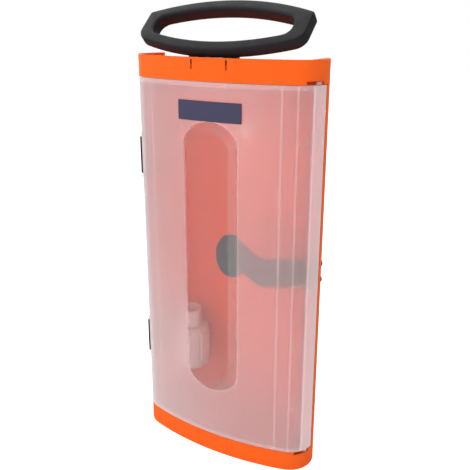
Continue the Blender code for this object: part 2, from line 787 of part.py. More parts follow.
def window_tool(setback):
    """Make the tapered cutter of the door's recess, bowed like the door."""
    lead = WINDOW_BORDER / 3
    slope = WINDOW_DEPTH / WINDOW_BORDER
    spine_low = WINDOW_BOTTOM + WINDOW_ARCH
    spine_high = WINDOW_TOP - WINDOW_ARCH
    rings = []
    for inset, depth in ((-lead, None), (-lead, -lead * slope), (WINDOW_BORDER, WINDOW_DEPTH)):
        width = WINDOW_HALF_WIDTH - inset
        rise = WINDOW_ARCH * width / WINDOW_HALF_WIDTH
        outline = arched_outline(width, WINDOW_BOTTOM + inset, WINDOW_TOP - inset, rise)
        if depth is None:
            rings.append([Vector((x, -HALF_DEPTH - 5 * BEYOND, z)) for x, z in outline])
        else:
            rings.append([Vector((x, front_y(x) + depth + setback, z)) for x, z in outline])
    floor = rings[-1]
    for share in (0.5, 0.0):
        ring = []
        for point in floor:
            x = point.x * share
            spine_z = min(max(point.z, spine_low), spine_high)
            z = spine_z + (point.z - spine_z) * share
            ring.append(Vector((x, front_y(x) + WINDOW_DEPTH + setback, z)))
        rings.append(ring)
    builder = bmesh.new()
    rows = [[builder.verts.new(point) for point in ring] for ring in rings]
    count = len(rows[0])
    for low, high in zip(rows, rows[1:]):
        for i in range(count):
            j = (i + 1) % count
            builder.faces.new((low[i], low[j], high[j], high[i]))
    builder.faces.new(rows[0])
    bmesh.ops.remove_doubles(builder, verts=builder.verts, dist=1e-7)
    bmesh.ops.dissolve_degenerate(builder, dist=1e-7, edges=builder.edges)
    return builder


def door_ribs():
    """Make the upright ribs inside the door, three on each side."""
    ribs = []
    for distance in RIB_POSITIONS:
        for side in (-1, 1):
            point, inward = front_frame(side * distance)
            along = Vector((-inward.y, inward.x)) * RIB_THICKNESS / 2
            start = point + inward * DOOR_WALL / 2
            end = point + inward * (DOOR_WALL + RIB_DEPTH)
            plan = [start - along, start + along, end + along, end - along]
            plan = [tuple(corner) for corner in plan]
            ribs.append(upright(plan, DOOR_BOTTOM + BEYOND, DOOR_TOP - BEYOND))
    return gather(*ribs)


def door_webs():
    """Make the short level webs between the two outer ribs on each side."""
    start = -math.acos((RIB_POSITIONS[1] - CORNER_X) / CORNER_RADIUS)
    end = -math.acos((RIB_POSITIONS[2] - CORNER_X) / CORNER_RADIUS)
    webs = []
    for index in range(WEB_COUNT):
        z = CASE_HEIGHT / 2 + (index - (WEB_COUNT - 1) / 2) * WEB_SPACING
        outer = corner_arc(DOOR_WALL / 2, start, end, steps=4)
        inner = corner_arc(DOOR_WALL + RIB_DEPTH - FIT_GAP, start, end, steps=4)
        right = outer + inner[::-1]
        for plan in (right, [(-x, y) for x, y in right]):
            webs.append(upright(plan, z - RIB_THICKNESS / 2, z + RIB_THICKNESS / 2))
    return gather(*webs)


def door_gussets():
    """Make the two small gussets under the door's top return."""
    gussets = []
    top = DOOR_TOP - RETURN_THICKNESS / 2
    for side in (-1, 1):
        x = side * GUSSET_FROM_CENTRE
        y = front_y(x, DOOR_WALL / 2)
        side_view = [(y, top), (y, top - GUSSET_HEIGHT), (y + GUSSET_DEPTH, top)]
        edges = (x - GUSSET_THICKNESS / 2, x + GUSSET_THICKNESS / 2)
        gussets.append(loft([[Vector((px, py, pz)) for py, pz in side_view] for px in edges]))
    return gather(*gussets)


def door_lug(flip):
    """Make the round lug at the door's corner that turns on the pin."""
    plan = circle(LUG_RADIUS, SMALL_ROUND_STEPS, (HINGE_X, HINGE_Y))
    return flip_height(upright(plan, DOOR_TOP - LUG_LENGTH, DOOR_TOP + LUG_RISE), flip)


def door_lug_bore(flip):
    """Make the cutter for the pin in one lug."""
    top = DOOR_TOP + LUG_RISE
    plan = circle(PIVOT_PIN_RADIUS + FIT_GAP, SMALL_ROUND_STEPS, (HINGE_X, HINGE_Y))
    return flip_height(upright(plan, top - PIVOT_PIN_IN_LUG - FIT_GAP, top + BEYOND), flip)


def latch_slot(centre_z):
    """Make the cutter that lets one latch's barrel into the door's edge."""
    reach = LATCH_BARREL_RADIUS + FIT_GAP
    half = LATCH_HEIGHT / 2 + FIT_GAP
    plan = circle(reach, SMALL_ROUND_STEPS, LATCH_AXIS)
    return upright(plan, centre_z - half, centre_z + half)


def latch_bosses(centre_z):
    """Make the two short posts on the door that hold one latch's pin."""
    start = LATCH_HEIGHT / 2 + FIT_GAP
    plan = circle(LATCH_BARREL_RADIUS, SMALL_ROUND_STEPS, LATCH_AXIS)
    lower = upright(plan, centre_z - start - LATCH_BOSS_LENGTH, centre_z - start)
    upper = upright(plan, centre_z + start, centre_z + start + LATCH_BOSS_LENGTH)
    return gather(lower, upper)


def latch_pin_half_length():
    """Give how far one latch pin reaches from its middle."""
    return LATCH_HEIGHT / 2 + FIT_GAP + LATCH_BOSS_LENGTH


def latch_bore(centre_z):
    """Make the cutter for one latch's pin."""
    half = latch_pin_half_length() + BEYOND
    plan = circle(LATCH_PIN_RADIUS + FIT_GAP, SMALL_ROUND_STEPS, LATCH_AXIS)
    return upright(plan, centre_z - half, centre_z + half)


def build_door():
    """Model the front half: bowed skin, recess, returns, ribs, lugs and latch posts."""
    door = add_object("door", case_block(0, DOOR_BOTTOM, DOOR_TOP))
    low = DOOR_BOTTOM + RETURN_THICKNESS
    high = DOOR_TOP - RETURN_THICKNESS
    core = add_object("core", case_block(DOOR_WALL, low, high))
    cut(core, window_tool(DOOR_WALL))
    cut(door, window_tool(0.0))
    core_tool = bmesh.new()
    core_tool.from_mesh(core.data)
    bpy.data.objects.remove(core, do_unlink=True)
    cut(door, core_tool)
    cut(door, case_block(RETURN_DEPTH, DOOR_BOTTOM - BEYOND, low + BEYOND))
    cut(door, case_block(RETURN_DEPTH, high - BEYOND, DOOR_TOP + BEYOND))
    far = CASE_WIDTH
    cut(door, box((-far, DOOR_EDGE_Y, -BEYOND), (far, far, CASE_HEIGHT + BEYOND)))
    join(door, door_ribs(), door_webs(), door_gussets())
    join(door, gather(door_lug(False), door_lug(True)))
    cut(door, gather(door_lug_bore(False), door_lug_bore(True)))
    cut(door, gather(*[latch_slot(z) for z in LATCH_CENTRES]))
    join(door, gather(*[latch_bosses(z) for z in LATCH_CENTRES]))
    cut(door, gather(*[latch_bore(z) for z in LATCH_CENTRES]))
    finish(door, MATERIALS["frosted"])
    return door


def build_door_label():
    """Model the thin bare label that lies on the door above the recess."""
    low = WINDOW_TOP + LABEL_ABOVE_WINDOW - LABEL_HEIGHT / 2
    steps = 8
    xs = [LABEL_WIDTH * (i / steps - 0.5) for i in range(steps + 1)]
    back = [(x, front_y(x, -FIT_GAP)) for x in xs]
    front = [(x, front_y(x, -FIT_GAP - LABEL_THICKNESS)) for x in xs]
    label = add_object("door_label", upright(front + back[::-1], low, low + LABEL_HEIGHT))
    finish(label, MATERIALS["navy"])
    return label


def build_door_pivot_pins():
    """Model the two pins that the door turns on."""
    low = DOOR_TOP + LUG_RISE - PIVOT_PIN_IN_LUG
    high = TOP_SKIRT + NOTCH_HEIGHT + PIVOT_PIN_IN_CAP
    plan = circle(PIVOT_PIN_RADIUS, SMALL_ROUND_STEPS, (HINGE_X, HINGE_Y))
    for end, flip in (("upper", False), ("lower", True)):
        add_finished(f"door_pivot_pin_{end}", flip_height(upright(plan, low, high), flip), "steel")


# ---------------------------------------------------------------- latches


def build_latch(name, centre_z):
    """Model one latch: a barrel in the door's edge and a curved plate over the keeper."""
    half = LATCH_HEIGHT / 2
    low = centre_z - half
    high = centre_z + half
    latch = add_object(name, upright(circle(LATCH_BARREL_RADIUS, SMALL_ROUND_STEPS, LATCH_AXIS), low, high))
    inner_inset = -LATCH_STAND_OFF
    outer_inset = -LATCH_STAND_OFF - LATCH_THICKNESS
    start = LATCH_AXIS_ANGLE
    outer = corner_arc(outer_inset, start, LATCH_TIP_ANGLE, side=-1)
    inner = corner_arc(inner_inset, start, LATCH_TIP_ANGLE, side=-1)
    join(latch, upright(outer + inner[::-1], low, high))
    cut(latch, latch_bore(centre_z))
    finish(latch, MATERIALS["black"])
    set_on_axis(latch, (LATCH_AXIS.x, LATCH_AXIS.y, centre_z))
    return latch


def build_latch_pins():
    """Model the pins that the two latches turn on."""
    half = latch_pin_half_length()
    plan = circle(LATCH_PIN_RADIUS, SMALL_ROUND_STEPS, LATCH_AXIS)
    return [
        add_finished(f"latch_pin_{end}", upright(plan, z - half, z + half), "steel")
        for end, z in zip(ENDS, LATCH_CENTRES)
    ]


# ---------------------------------------------------------------- handle


def handle_loops(inset, hole=False):
    """Give the handle's outer or inner outline about the folded handle's centre."""
    bow = (HANDLE_HALF_WIDTH**2 + HANDLE_BOW_DROP**2) / (2 * HANDLE_BOW_DROP)
    if hole:
        width = HANDLE_HALF_WIDTH - HANDLE_END_WIDTH
        depth = HANDLE_HALF_DEPTH - HANDLE_BAR_WIDTH
        corners = (HANDLE_HOLE_CORNER_RADIUS, HANDLE_HOLE_CORNER_RADIUS)
        hole_loop = bowed_outline(width, depth, corners, bow - HANDLE_BAR_WIDTH, inset)
        return [(x, y - HANDLE_HOLE_OFFSET) for x, y in hole_loop]
    corners = (HANDLE_FAR_CORNER_RADIUS, HANDLE_NEAR_CORNER_RADIUS)
    return bowed_outline(HANDLE_HALF_WIDTH, HANDLE_HALF_DEPTH, corners, bow, inset)


def handle_edge(back_round, front_round, top):
    """Give (inset, height) steps up one side of the handle's bar."""
    steps = []
    for i in range(4):
        turn = math.pi / 2 * i / 3
        steps.append((back_round * (1 - math.sin(turn)), back_round * (1 - math.cos(turn))))
    for i in range(3):
        turn = math.pi / 2 * i / 2
        steps.append((front_round * (1 - math.cos(turn)), top - front_round * (1 - math.sin(turn))))
    return steps


def axis_disc(radius, start, end, side):
    """Make a cylinder along the handle's axis between two distances on one side."""
    ring = circle(radius, SMALL_ROUND_STEPS)
    return loft([[Vector((side * x, y, z)) for y, z in ring] for x in (start, end)])


def handle_axis_tool(radius, start, end):
    """Make the same cylinder on both sides of the handle's middle."""
    return gather(*[axis_disc(radius, start, end, side) for side in (-1, 1)])


def build_handle():
    """Model the ring handle lying flat with its axis at the origin, then lean it up."""
    shift_y = HANDLE_SET_BACK - HANDLE_PIVOT_Y
    rings = []
    outer_top = HANDLE_THICKNESS - HANDLE_FACE_DROP
    for inset, height in handle_edge(HANDLE_BACK_ROUND, HANDLE_FRONT_ROUND, outer_top):
        z = height + HANDLE_BACK_ABOVE_PIVOT
        rings.append([Vector((x, y + shift_y, z)) for x, y in handle_loops(inset)])
    inner_edge = handle_edge(HANDLE_BACK_ROUND, HANDLE_HOLE_ROUND, HANDLE_THICKNESS)
    for inset, height in reversed(inner_edge):
        z = height + HANDLE_BACK_ABOVE_PIVOT
        rings.append([Vector((x, y + shift_y, z)) for x, y in handle_loops(-inset, hole=True)])
    handle = add_object("handle", loft(rings, closed=True))
    far_edge = shift_y + HANDLE_HALF_DEPTH
    tab_low = outer_top / 2 + HANDLE_BACK_ABOVE_PIVOT - HANDLE_TAB_THICKNESS / 2
    tab = box(
        (-HANDLE_TAB_WIDTH / 2, far_edge - HANDLE_BAR_WIDTH / 2, tab_low),
        (HANDLE_TAB_WIDTH / 2, far_edge + HANDLE_TAB_LENGTH, tab_low + HANDLE_TAB_THICKNESS),
    )
    bmesh.ops.bevel(
        tab,
        geom=[e for e in tab.edges if all(v.co.y > far_edge for v in e.verts)],
        offset=HANDLE_FRONT_ROUND,
        segments=2,
        affect="EDGES",
    )
    join(handle, tab)
    inner_start = KNUCKLE_INNER_END - KNUCKLE_LENGTH
    outer_end = KNUCKLE_OUTER_START + KNUCKLE_LENGTH
    join(handle, handle_axis_tool(KNUCKLE_RADIUS, inner_start, outer_end))
    cut(handle, handle_axis_tool(EAR_NOTCH_RADIUS, KNUCKLE_INNER_END, KNUCKLE_OUTER_START))
    bore = HANDLE_PIN_RADIUS + FIT_GAP
    cut(handle, handle_axis_tool(bore, inner_start - 2 * BEYOND, outer_end + 2 * BEYOND))
    finish(handle, MATERIALS["black"])
    handle.location = (0, HANDLE_PIVOT_Y, HANDLE_PIVOT_Z)
    handle.rotation_euler = (HANDLE_LEAN, 0, 0)
    return handle


def place_on_handle_axis(builder):
    """Move a bmesh made about the handle's axis to where the axis is."""
    return move(builder, Matrix.Translation((0, HANDLE_PIVOT_Y, HANDLE_PIVOT_Z)))


def build_handle_pins():
    """Model the two short pins that join the handle to the bracket's ears."""
    start = KNUCKLE_INNER_END - KNUCKLE_LENGTH
    end = KNUCKLE_OUTER_START + KNUCKLE_LENGTH
    for name, side in zip(SIDES, (-1, 1)):
        pin = place_on_handle_axis(axis_disc(HANDLE_PIN_RADIUS, start, end, side))
        add_finished(f"handle_pin_{name}", pin, "steel")


def build_handle_washers():
    """Model the friction washers beside the bracket's ears."""
    start = KNUCKLE_INNER_END + FIT_GAP
    end = start + WASHER_THICKNESS
    bore = HANDLE_PIN_RADIUS + FIT_GAP
    for name, side in zip(SIDES, (-1, 1)):
        rings = []
        for radius, x in ((bore, start), (WASHER_RADIUS, start), (WASHER_RADIUS, end), (bore, end)):
            ring = circle(radius, SMALL_ROUND_STEPS)
            rings.append([Vector((side * x, y, z)) for y, z in ring])
        washer = place_on_handle_axis(loft(rings, closed=True))
        add_finished(f"handle_washer_{name}", washer, "steel")


def bracket_screw_places():
    """Give the frames of the two screws under the bracket, heads downwards."""
    turn = Matrix.Rotation(math.pi, 4, "X")
    z = WELL_FLOOR - SHELL_WALL
    xs = (-BRACKET_SCREW_FROM_CENTRE, BRACKET_SCREW_FROM_CENTRE)
    return [Matrix.Translation((x, HANDLE_PIVOT_Y, z)) @ turn for x in xs]


def bracket_screw_length():
    """Give how far a bracket screw reaches up from the underside of the well."""
    return SHELL_WALL + FIT_GAP + BRACKET_BASE_THICKNESS - FIT_GAP


def bracket_screw_holes():
    """Make the cutters for the bracket's screws."""
    radius = SCREW_SHANK_RADIUS + FIT_GAP
    depth = bracket_screw_length() + 2 * BEYOND
    holes = [turned([(radius, -depth), (radius, BEYOND)], SMALL_ROUND_STEPS) for _ in range(2)]
    return gather(*[move(hole, place) for hole, place in zip(holes, bracket_screw_places())])


def build_bracket_screws():
    """Model the two screws that hold the handle's bracket from inside the cap."""
    for side, place in zip(SIDES, bracket_screw_places()):
        stations = [(SCREW_SHANK_RADIUS, -bracket_screw_length()), *screw_head()]
        screw = move(turned(stations, SMALL_ROUND_STEPS), place)
        add_finished(f"bracket_screw_{side}", screw, "steel")


def build_handle_bracket():
    """Model the bracket in the well: base, two ears and a tab in each front slot."""
    base_low = WELL_FLOOR + FIT_GAP
    base_high = base_low + BRACKET_BASE_THICKNESS
    bracket = add_object(
        "handle_bracket",
        box(
            (-BRACKET_BASE_HALF_WIDTH, HANDLE_PIVOT_Y - BRACKET_BASE_FRONT, base_low),
            (BRACKET_BASE_HALF_WIDTH, HANDLE_PIVOT_Y + BRACKET_BASE_REAR, base_high),
        ),
    )
    stems = []
    tabs = []
    tab_half = SLOT_WIDTH / 2 - FIT_GAP
    for side in (-1, 1):
        middle = side * SLOT_FROM_CENTRE
        low_x = middle - EAR_THICKNESS / 2
        stems.append(
            box(
                (low_x, HANDLE_PIVOT_Y - EAR_STEM_HALF_WIDTH, base_low + FIT_GAP),
                (low_x + EAR_THICKNESS, HANDLE_PIVOT_Y + EAR_STEM_HALF_WIDTH, HANDLE_PIVOT_Z),
            )
        )
        front = front_y(middle) + SEAM_GAP
        tabs.append(
            box(
                (middle - tab_half, front, base_low + FIT_GAP),
                (middle + tab_half, HANDLE_PIVOT_Y, HANDLE_PIVOT_Z - SLOT_BELOW_RIM),
            )
        )
    join(bracket, gather(*stems))
    join(bracket, place_on_handle_axis(handle_axis_tool(EAR_RADIUS, EAR_INNER, EAR_OUTER)))
    join(bracket, gather(*tabs))
    bore = HANDLE_PIN_RADIUS + FIT_GAP
    tool = handle_axis_tool(bore, EAR_INNER - BEYOND, EAR_OUTER + BEYOND)
    cut(bracket, place_on_handle_axis(tool), bracket_screw_holes())
    finish(bracket, MATERIALS["black"])
    return bracket


# ---------------------------------------------------------------- powder bottle


def at_bottle(builder, z=0.0):
    """Move a bmesh to the bottle's axis, turned square to the wall behind it."""
    place = Matrix.Translation((BOTTLE_X, BOTTLE_Y, z)) @ Matrix.Rotation(BOTTLE_BEARING, 4, "Z")
    return move(builder, place)


def build_bottle_body():
    """Model the open-necked powder bottle."""
    top = BOTTLE_BODY_HEIGHT + BOTTLE_SHOULDER_ROUND
    neck_top = top + BOTTLE_NECK_HEIGHT
    foot = BOTTLE_WALL
    outside = [(BOTTLE_RADIUS - foot, 0), (BOTTLE_RADIUS, foot)]
    for i in range(5):
        turn = math.pi / 2 * i / 4
        radius = BOTTLE_RADIUS - BOTTLE_SHOULDER_ROUND * (1 - math.cos(turn))
        outside.append((radius, BOTTLE_BODY_HEIGHT + BOTTLE_SHOULDER_ROUND * math.sin(turn)))
    outside += [(BOTTLE_NECK_RADIUS, top), (BOTTLE_NECK_RADIUS, neck_top)]
    hollow = [
        (BOTTLE_NECK_RADIUS - BOTTLE_WALL, neck_top),
        (BOTTLE_NECK_RADIUS - BOTTLE_WALL, top - BOTTLE_WALL),
        (BOTTLE_RADIUS - BOTTLE_SHOULDER_ROUND, top - BOTTLE_WALL),
        (BOTTLE_RADIUS - BOTTLE_WALL, BOTTLE_BODY_HEIGHT),
        (BOTTLE_RADIUS - BOTTLE_WALL, 2 * BOTTLE_WALL),
        (BOTTLE_RADIUS - 2 * BOTTLE_WALL, BOTTLE_WALL),
    ]
    bottle = add_object("bottle_body", at_bottle(turned(outside + hollow), BOTTLE_BASE_Z))
    finish(bottle, MATERIALS["bottle"])
    return bottle


def build_bottle_sifter():
    """Model the perforated plug pressed into the bottle's neck."""
    plug = BOTTLE_NECK_RADIUS - BOTTLE_WALL - FIT_GAP
    flange = BOTTLE_NECK_RADIUS
    stations = [(plug, -SIFTER_PLUG_DEPTH), (plug, 0), (flange, 0), (flange, SIFTER_FLANGE)]
    sifter = add_object("bottle_sifter", turned(stations))
    ring = circle(SIFTER_HOLE_CIRCLE, 6)
    holes = [circle(SIFTER_HOLE_RADIUS, 10, centre) for centre in [(0, 0), *ring]]
    cut(sifter, gather(*[upright(h, -2 * SIFTER_PLUG_DEPTH, SIFTER_PLUG_DEPTH) for h in holes]))
    top = BOTTLE_NECK_BASE_Z + BOTTLE_NECK_HEIGHT + FIT_GAP
    sifter.data.transform(Matrix.Translation((BOTTLE_X, BOTTLE_Y, top)))
    finish(sifter, MATERIALS["bottle_cap"])
    return sifter


def build_bottle_cap():
    """Model the screw cap as a cup over the neck."""
    outer = BOTTLE_CAP_RADIUS
    inner = outer - BOTTLE_CAP_WALL
    height = BOTTLE_CAP_HEIGHT
    edge = BOTTLE_CAP_WALL / 2
    stations = [
        (inner, height - BOTTLE_CAP_WALL),
        (inner, 0),
        (outer, 0),
        (outer, height - edge),
        (outer - edge, height),
    ]
    base = BOTTLE_NECK_BASE_Z + FIT_GAP
    cap = add_object("bottle_cap", at_bottle(turned(stations), base))
    finish(cap, MATERIALS["bottle_cap"])
    return cap


def build_bottle_clip():
    """Model the C-shaped clip that holds the bottle against the rear wall."""
    inner = BOTTLE_RADIUS + FIT_GAP
    outer = inner + CLIP_WALL
    start = -math.pi / 2 + CLIP_MOUTH_HALF_ANGLE
    end = 3 * math.pi / 2 - CLIP_MOUTH_HALF_ANGLE
    steps = 20
    turns = [start + (end - start) * i / steps for i in range(steps + 1)]
    arc_out = [(outer * math.cos(a), outer * math.sin(a)) for a in turns]
    arc_in = [(inner * math.cos(a), inner * math.sin(a)) for a in turns]
    high = CLIP_BASE_Z + CLIP_HEIGHT
    clip = add_object("bottle_clip", at_bottle(upright(arc_out + arc_in[::-1], CLIP_BASE_Z, high)))
    half = CLIP_PAD_HALF_WIDTH
    steps = 4
    xs = [half - 2 * half * i / steps for i in range(steps + 1)]
    wall_radius = BOW_RADIUS - SHELL_WALL - FIT_GAP
    curve = [(x, math.sqrt(wall_radius**2 - x**2) - BOTTLE_FROM_BOW) for x in xs]
    front = inner - CLIP_PAD_OVERLAP
    pad = [(-half, front), (half, front), *curve]
    join(clip, at_bottle(upright(pad, CLIP_BASE_Z, high)))
    cut(clip, at_bottle(upright(circle(inner), CLIP_BASE_Z - BEYOND, high + BEYOND)))
    cut(clip, rivet_holes(clip_rivet_places(), HALF_DEPTH - BOTTLE_RADIUS))
    finish(clip, MATERIALS["orange"])
    return clip


def build_rivets(name, places, grip):
    """Model rivets with a domed head outside and a plain tail inside."""
    for end, place in zip(ENDS, places):
        stations = [
            (RIVET_TAIL_RADIUS, -grip),
            (RIVET_SHANK_RADIUS, -grip + RIVET_TAIL_LENGTH),
            (RIVET_SHANK_RADIUS, FIT_GAP),
            (RIVET_HEAD_RADIUS, FIT_GAP),
            (RIVET_DOME_RADIUS, FIT_GAP + RIVET_DOME_START),
            (RIVET_CROWN_RADIUS, FIT_GAP + RIVET_HEAD_HEIGHT),
        ]
        add_finished(f"{name}_{end}", move(turned(stations, SMALL_ROUND_STEPS), place), "rivet")


# ---------------------------------------------------------------- interior strap


def strap_route():
    """Give stations from the paddle's tip to the anchor: plan point, half height, rise."""
    wall = CORNER_RADIUS - SHELL_WALL - FIT_GAP - STRAP_THICKNESS / 2
    tip = PADDLE_CENTRE_X - PADDLE_HALF_LENGTH
    paddle_y = -HALF_DEPTH + WINDOW_DEPTH + DOOR_WALL + PADDLE_THICKNESS
    stations = []
    for share in PADDLE_SECTIONS:
        x = tip + PADDLE_HALF_LENGTH * share
        round_off = math.sqrt(max(1 - (1 - share) ** 2, 0))
        half = max(PADDLE_HALF_HEIGHT * round_off, STRAP_HALF_HEIGHT)
        if share < 1:
            half = PADDLE_HALF_HEIGHT * round_off
        point = Vector((x, paddle_y + PADDLE_SLANT * share))
        stations.append((point, half, PADDLE_RISE, PADDLE_THICKNESS))
    for across, behind, rise in STRAP_WAY:
        point = Vector((HALF_WIDTH * across, paddle_y + behind))
        stations.append((point, STRAP_HALF_HEIGHT, PADDLE_RISE * rise, STRAP_THICKNESS))
    steps = 5
    for i in range(steps + 1):
        turn = ANCHOR_ANGLES[0] + (ANCHOR_ANGLES[1] - ANCHOR_ANGLES[0]) * i / steps
        point = Vector((CORNER_X + wall * math.cos(turn), wall * math.sin(turn)))
        stations.append((point, STRAP_HALF_HEIGHT, 0.0, STRAP_THICKNESS))
    return stations


def build_retaining_strap():
    """Model the rubber strap with its paddle-shaped free end."""
    route = strap_route()
    rings = []
    for index, (point, half, rise, thickness) in enumerate(route):
        before = route[max(index - 1, 0)][0]
        after = route[min(index + 1, len(route) - 1)][0]
        ahead = (after - before).normalized()
        across = Vector((-ahead.y, ahead.x)) * thickness / 2
        edge = min(thickness / 2, half / 2)
        ring = []
        for side, height in ((-1, half - edge), (-0.5, half), (0.5, half), (1, half - edge)):
            ring.append((side, height))
        profile = ring + [(side, -height) for side, height in reversed(ring)]
        middle = STRAP_CENTRE_Z + rise
        rings.append(
            [Vector((*(point + across * side), middle + height)) for side, height in profile]
        )
    strap = add_object("retaining_strap", loft(rings))
    cut(strap, rivet_holes(strap_rivet_places(), HALF_DEPTH / 3))
    finish(strap, MATERIALS["rubber"])
    return strap


def build_strap_anchor():
    """Model the curved plate that clamps the strap to the wall."""
    behind = SHELL_WALL + FIT_GAP + STRAP_THICKNESS + FIT_GAP
    margin = (ANCHOR_ANGLES[1] - ANCHOR_ANGLES[0]) / 5
    start = ANCHOR_ANGLES[0] + margin
    end = ANCHOR_ANGLES[1] - margin
    outer = corner_arc(behind, start, end)
    inner = corner_arc(behind + ANCHOR_THICKNESS, start, end)
    low = STRAP_CENTRE_Z - STRAP_HALF_HEIGHT + BEYOND
    high = STRAP_CENTRE_Z + STRAP_HALF_HEIGHT - BEYOND
    plate = add_object("strap_anchor_plate", upright(outer + inner[::-1], low, high))
    cut(plate, rivet_holes(strap_rivet_places(), HALF_DEPTH / 3))
    finish(plate, MATERIALS["rivet"])
    return plate


# ---------------------------------------------------------------- assembly


MATERIALS = {}


def make_materials():
    """Make every material once."""
    MATERIALS["orange"] = orange_plastic()
    MATERIALS["frosted"] = frosted_plastic()
    MATERIALS["black"] = black_plastic()
    MATERIALS["rubber"] = black_rubber()
    MATERIALS["navy"] = navy_vinyl()
    MATERIALS["steel"] = steel()
    MATERIALS["rivet"] = rivet_metal()
    MATERIALS["bottle"] = bottle_plastic()
    MATERIALS["bottle_cap"] = bottle_cap_plastic()


def build_case():
    """Build every sub-part and hang the moving ones on their axes."""
    clear_scene()
    make_materials()
    build_back_shell()
    build_top_cap()
    build_bottom_cap()
    build_cap_screws("top_cap", TOP_SKIRT + CAP_SCREW_INTO_CAP)
    build_cap_screws("bottom_cap", CAP_HEIGHT - CAP_SCREW_INTO_CAP)

    door_axis = make_axis("door_axis", Vector((HINGE_X, HINGE_Y, CASE_HEIGHT / 2)))
    latches = [build_latch(f"latch_{end}", z) for end, z in zip(ENDS, LATCH_CENTRES)]
    carry(door_axis, build_door(), build_door_label(), *build_latch_pins(), *latches)
    build_door_pivot_pins()

    build_handle()
    build_handle_pins()
    build_handle_washers()
    build_handle_bracket()
    build_bracket_screws()

    build_bottle_body()
    build_bottle_sifter()
    build_bottle_cap()
    build_bottle_clip()
    clip_grip = SHELL_WALL + FIT_GAP + CLIP_PAD_THICKNESS + CLIP_WALL / 2
    build_rivets("clip_rivet", clip_rivet_places(), clip_grip)

    build_retaining_strap()
    build_strap_anchor()
    strap_grip = SHELL_WALL + STRAP_THICKNESS + ANCHOR_THICKNESS + 2 * FIT_GAP
    build_rivets("strap_rivet", strap_rivet_places(), strap_grip)


build_case()
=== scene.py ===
"""Look of a bowed storage case with a frosted hinged door and a folding ring handle.

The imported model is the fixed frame. The rigid pieces keep its shapes and get their real
finishes and slightly rounded edges. The powder bottle, the strap, the label and the
fasteners are rebuilt here in finer detail. Every size is in metres.
"""

import json
import logging
import math
from dataclasses import dataclass
from enum import Enum
from typing import Any, Callable, Mapping, Sequence

import bmesh
import bpy
from mathutils import Matrix, Vector
from mathutils.geometry import interpolate_bezier

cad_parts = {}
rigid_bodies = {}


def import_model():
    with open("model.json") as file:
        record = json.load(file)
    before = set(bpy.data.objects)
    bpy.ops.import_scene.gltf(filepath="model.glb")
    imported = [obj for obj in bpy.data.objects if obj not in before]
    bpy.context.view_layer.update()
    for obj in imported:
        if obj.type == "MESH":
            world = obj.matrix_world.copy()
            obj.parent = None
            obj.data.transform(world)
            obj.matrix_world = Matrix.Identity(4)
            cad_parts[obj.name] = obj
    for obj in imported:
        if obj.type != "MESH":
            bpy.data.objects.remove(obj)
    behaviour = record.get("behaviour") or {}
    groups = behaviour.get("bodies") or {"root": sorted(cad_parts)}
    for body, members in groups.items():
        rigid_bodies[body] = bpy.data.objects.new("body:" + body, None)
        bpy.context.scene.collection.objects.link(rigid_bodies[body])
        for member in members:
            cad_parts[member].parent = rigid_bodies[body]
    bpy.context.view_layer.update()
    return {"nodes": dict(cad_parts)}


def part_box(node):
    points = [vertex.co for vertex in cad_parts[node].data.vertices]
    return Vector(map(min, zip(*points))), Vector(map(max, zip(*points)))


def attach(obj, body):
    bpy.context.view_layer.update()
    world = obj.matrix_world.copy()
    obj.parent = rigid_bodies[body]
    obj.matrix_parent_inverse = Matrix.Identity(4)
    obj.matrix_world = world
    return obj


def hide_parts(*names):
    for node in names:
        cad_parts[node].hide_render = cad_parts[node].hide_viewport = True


for leftover in list(bpy.data.objects):
    bpy.data.objects.remove(leftover, do_unlink=True)

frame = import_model()

log = logging.getLogger("storage_case")

Socket = bpy.types.NodeSocket
Tree = bpy.types.NodeTree
Point = tuple[float, float]


class Body(str, Enum):
    """The bodies that the rebuilt pieces ride on."""

    CASE = "case"
    DOOR = "door"
    LATCH_LOWER = "latch_lower"
    LATCH_UPPER = "latch_upper"
    BOTTLE = "bottle"
    BOTTLE_CAP = "bottle_cap"


class Slot(str, Enum):
    """The names of the record's material slots."""

    FROSTED = "frosted_polypropylene"
    NAVY = "navy_vinyl"
    BLACK = "black_nylon"
    RUBBER = "black_rubber"
    STEEL = "plated_steel"
    BOTTLE = "white_polyethylene"
    WHITE = "white_polypropylene"


# ---------------------------------------------------------------- nodes and colours


def linear(code: str) -> tuple[float, float, float, float]:
    """Turn an sRGB hex colour into linear RGBA.

    Args:
        code: Six hex digits, such as "F4641E".

    Returns:
        Linear red, green and blue, and an alpha of one.
    """
    channels = [int(code[i : i + 2], 16) / 255 for i in (0, 2, 4)]
    red, green, blue = [c / 12.92 if c <= 0.04045 else ((c + 0.055) / 1.055) ** 2.4 for c in channels]
    return red, green, blue, 1.0


def add_node(
    tree: Tree,
    kind: str,
    values: Mapping[Any, Any] | None = None,
    links: Mapping[Any, Socket] | None = None,
    **settings: Any,
) -> bpy.types.Node:
    """Add one node with its settings, input values and links.

    Args:
        tree: The node tree that the node goes into.
        kind: The node's type, such as "ShaderNodeMath".
        values: Input values by socket name or index.
        links: Sockets to join to inputs, by input name or index.
        **settings: Properties of the node itself.

    Returns:
        The new node.
    """
    node = tree.nodes.new(kind)
    for name, value in settings.items():
        setattr(node, name, value)
    for key, value in (values or {}).items():
        node.inputs[key].default_value = value
    for key, socket in (links or {}).items():
        tree.links.new(socket, node.inputs[key])
    return node


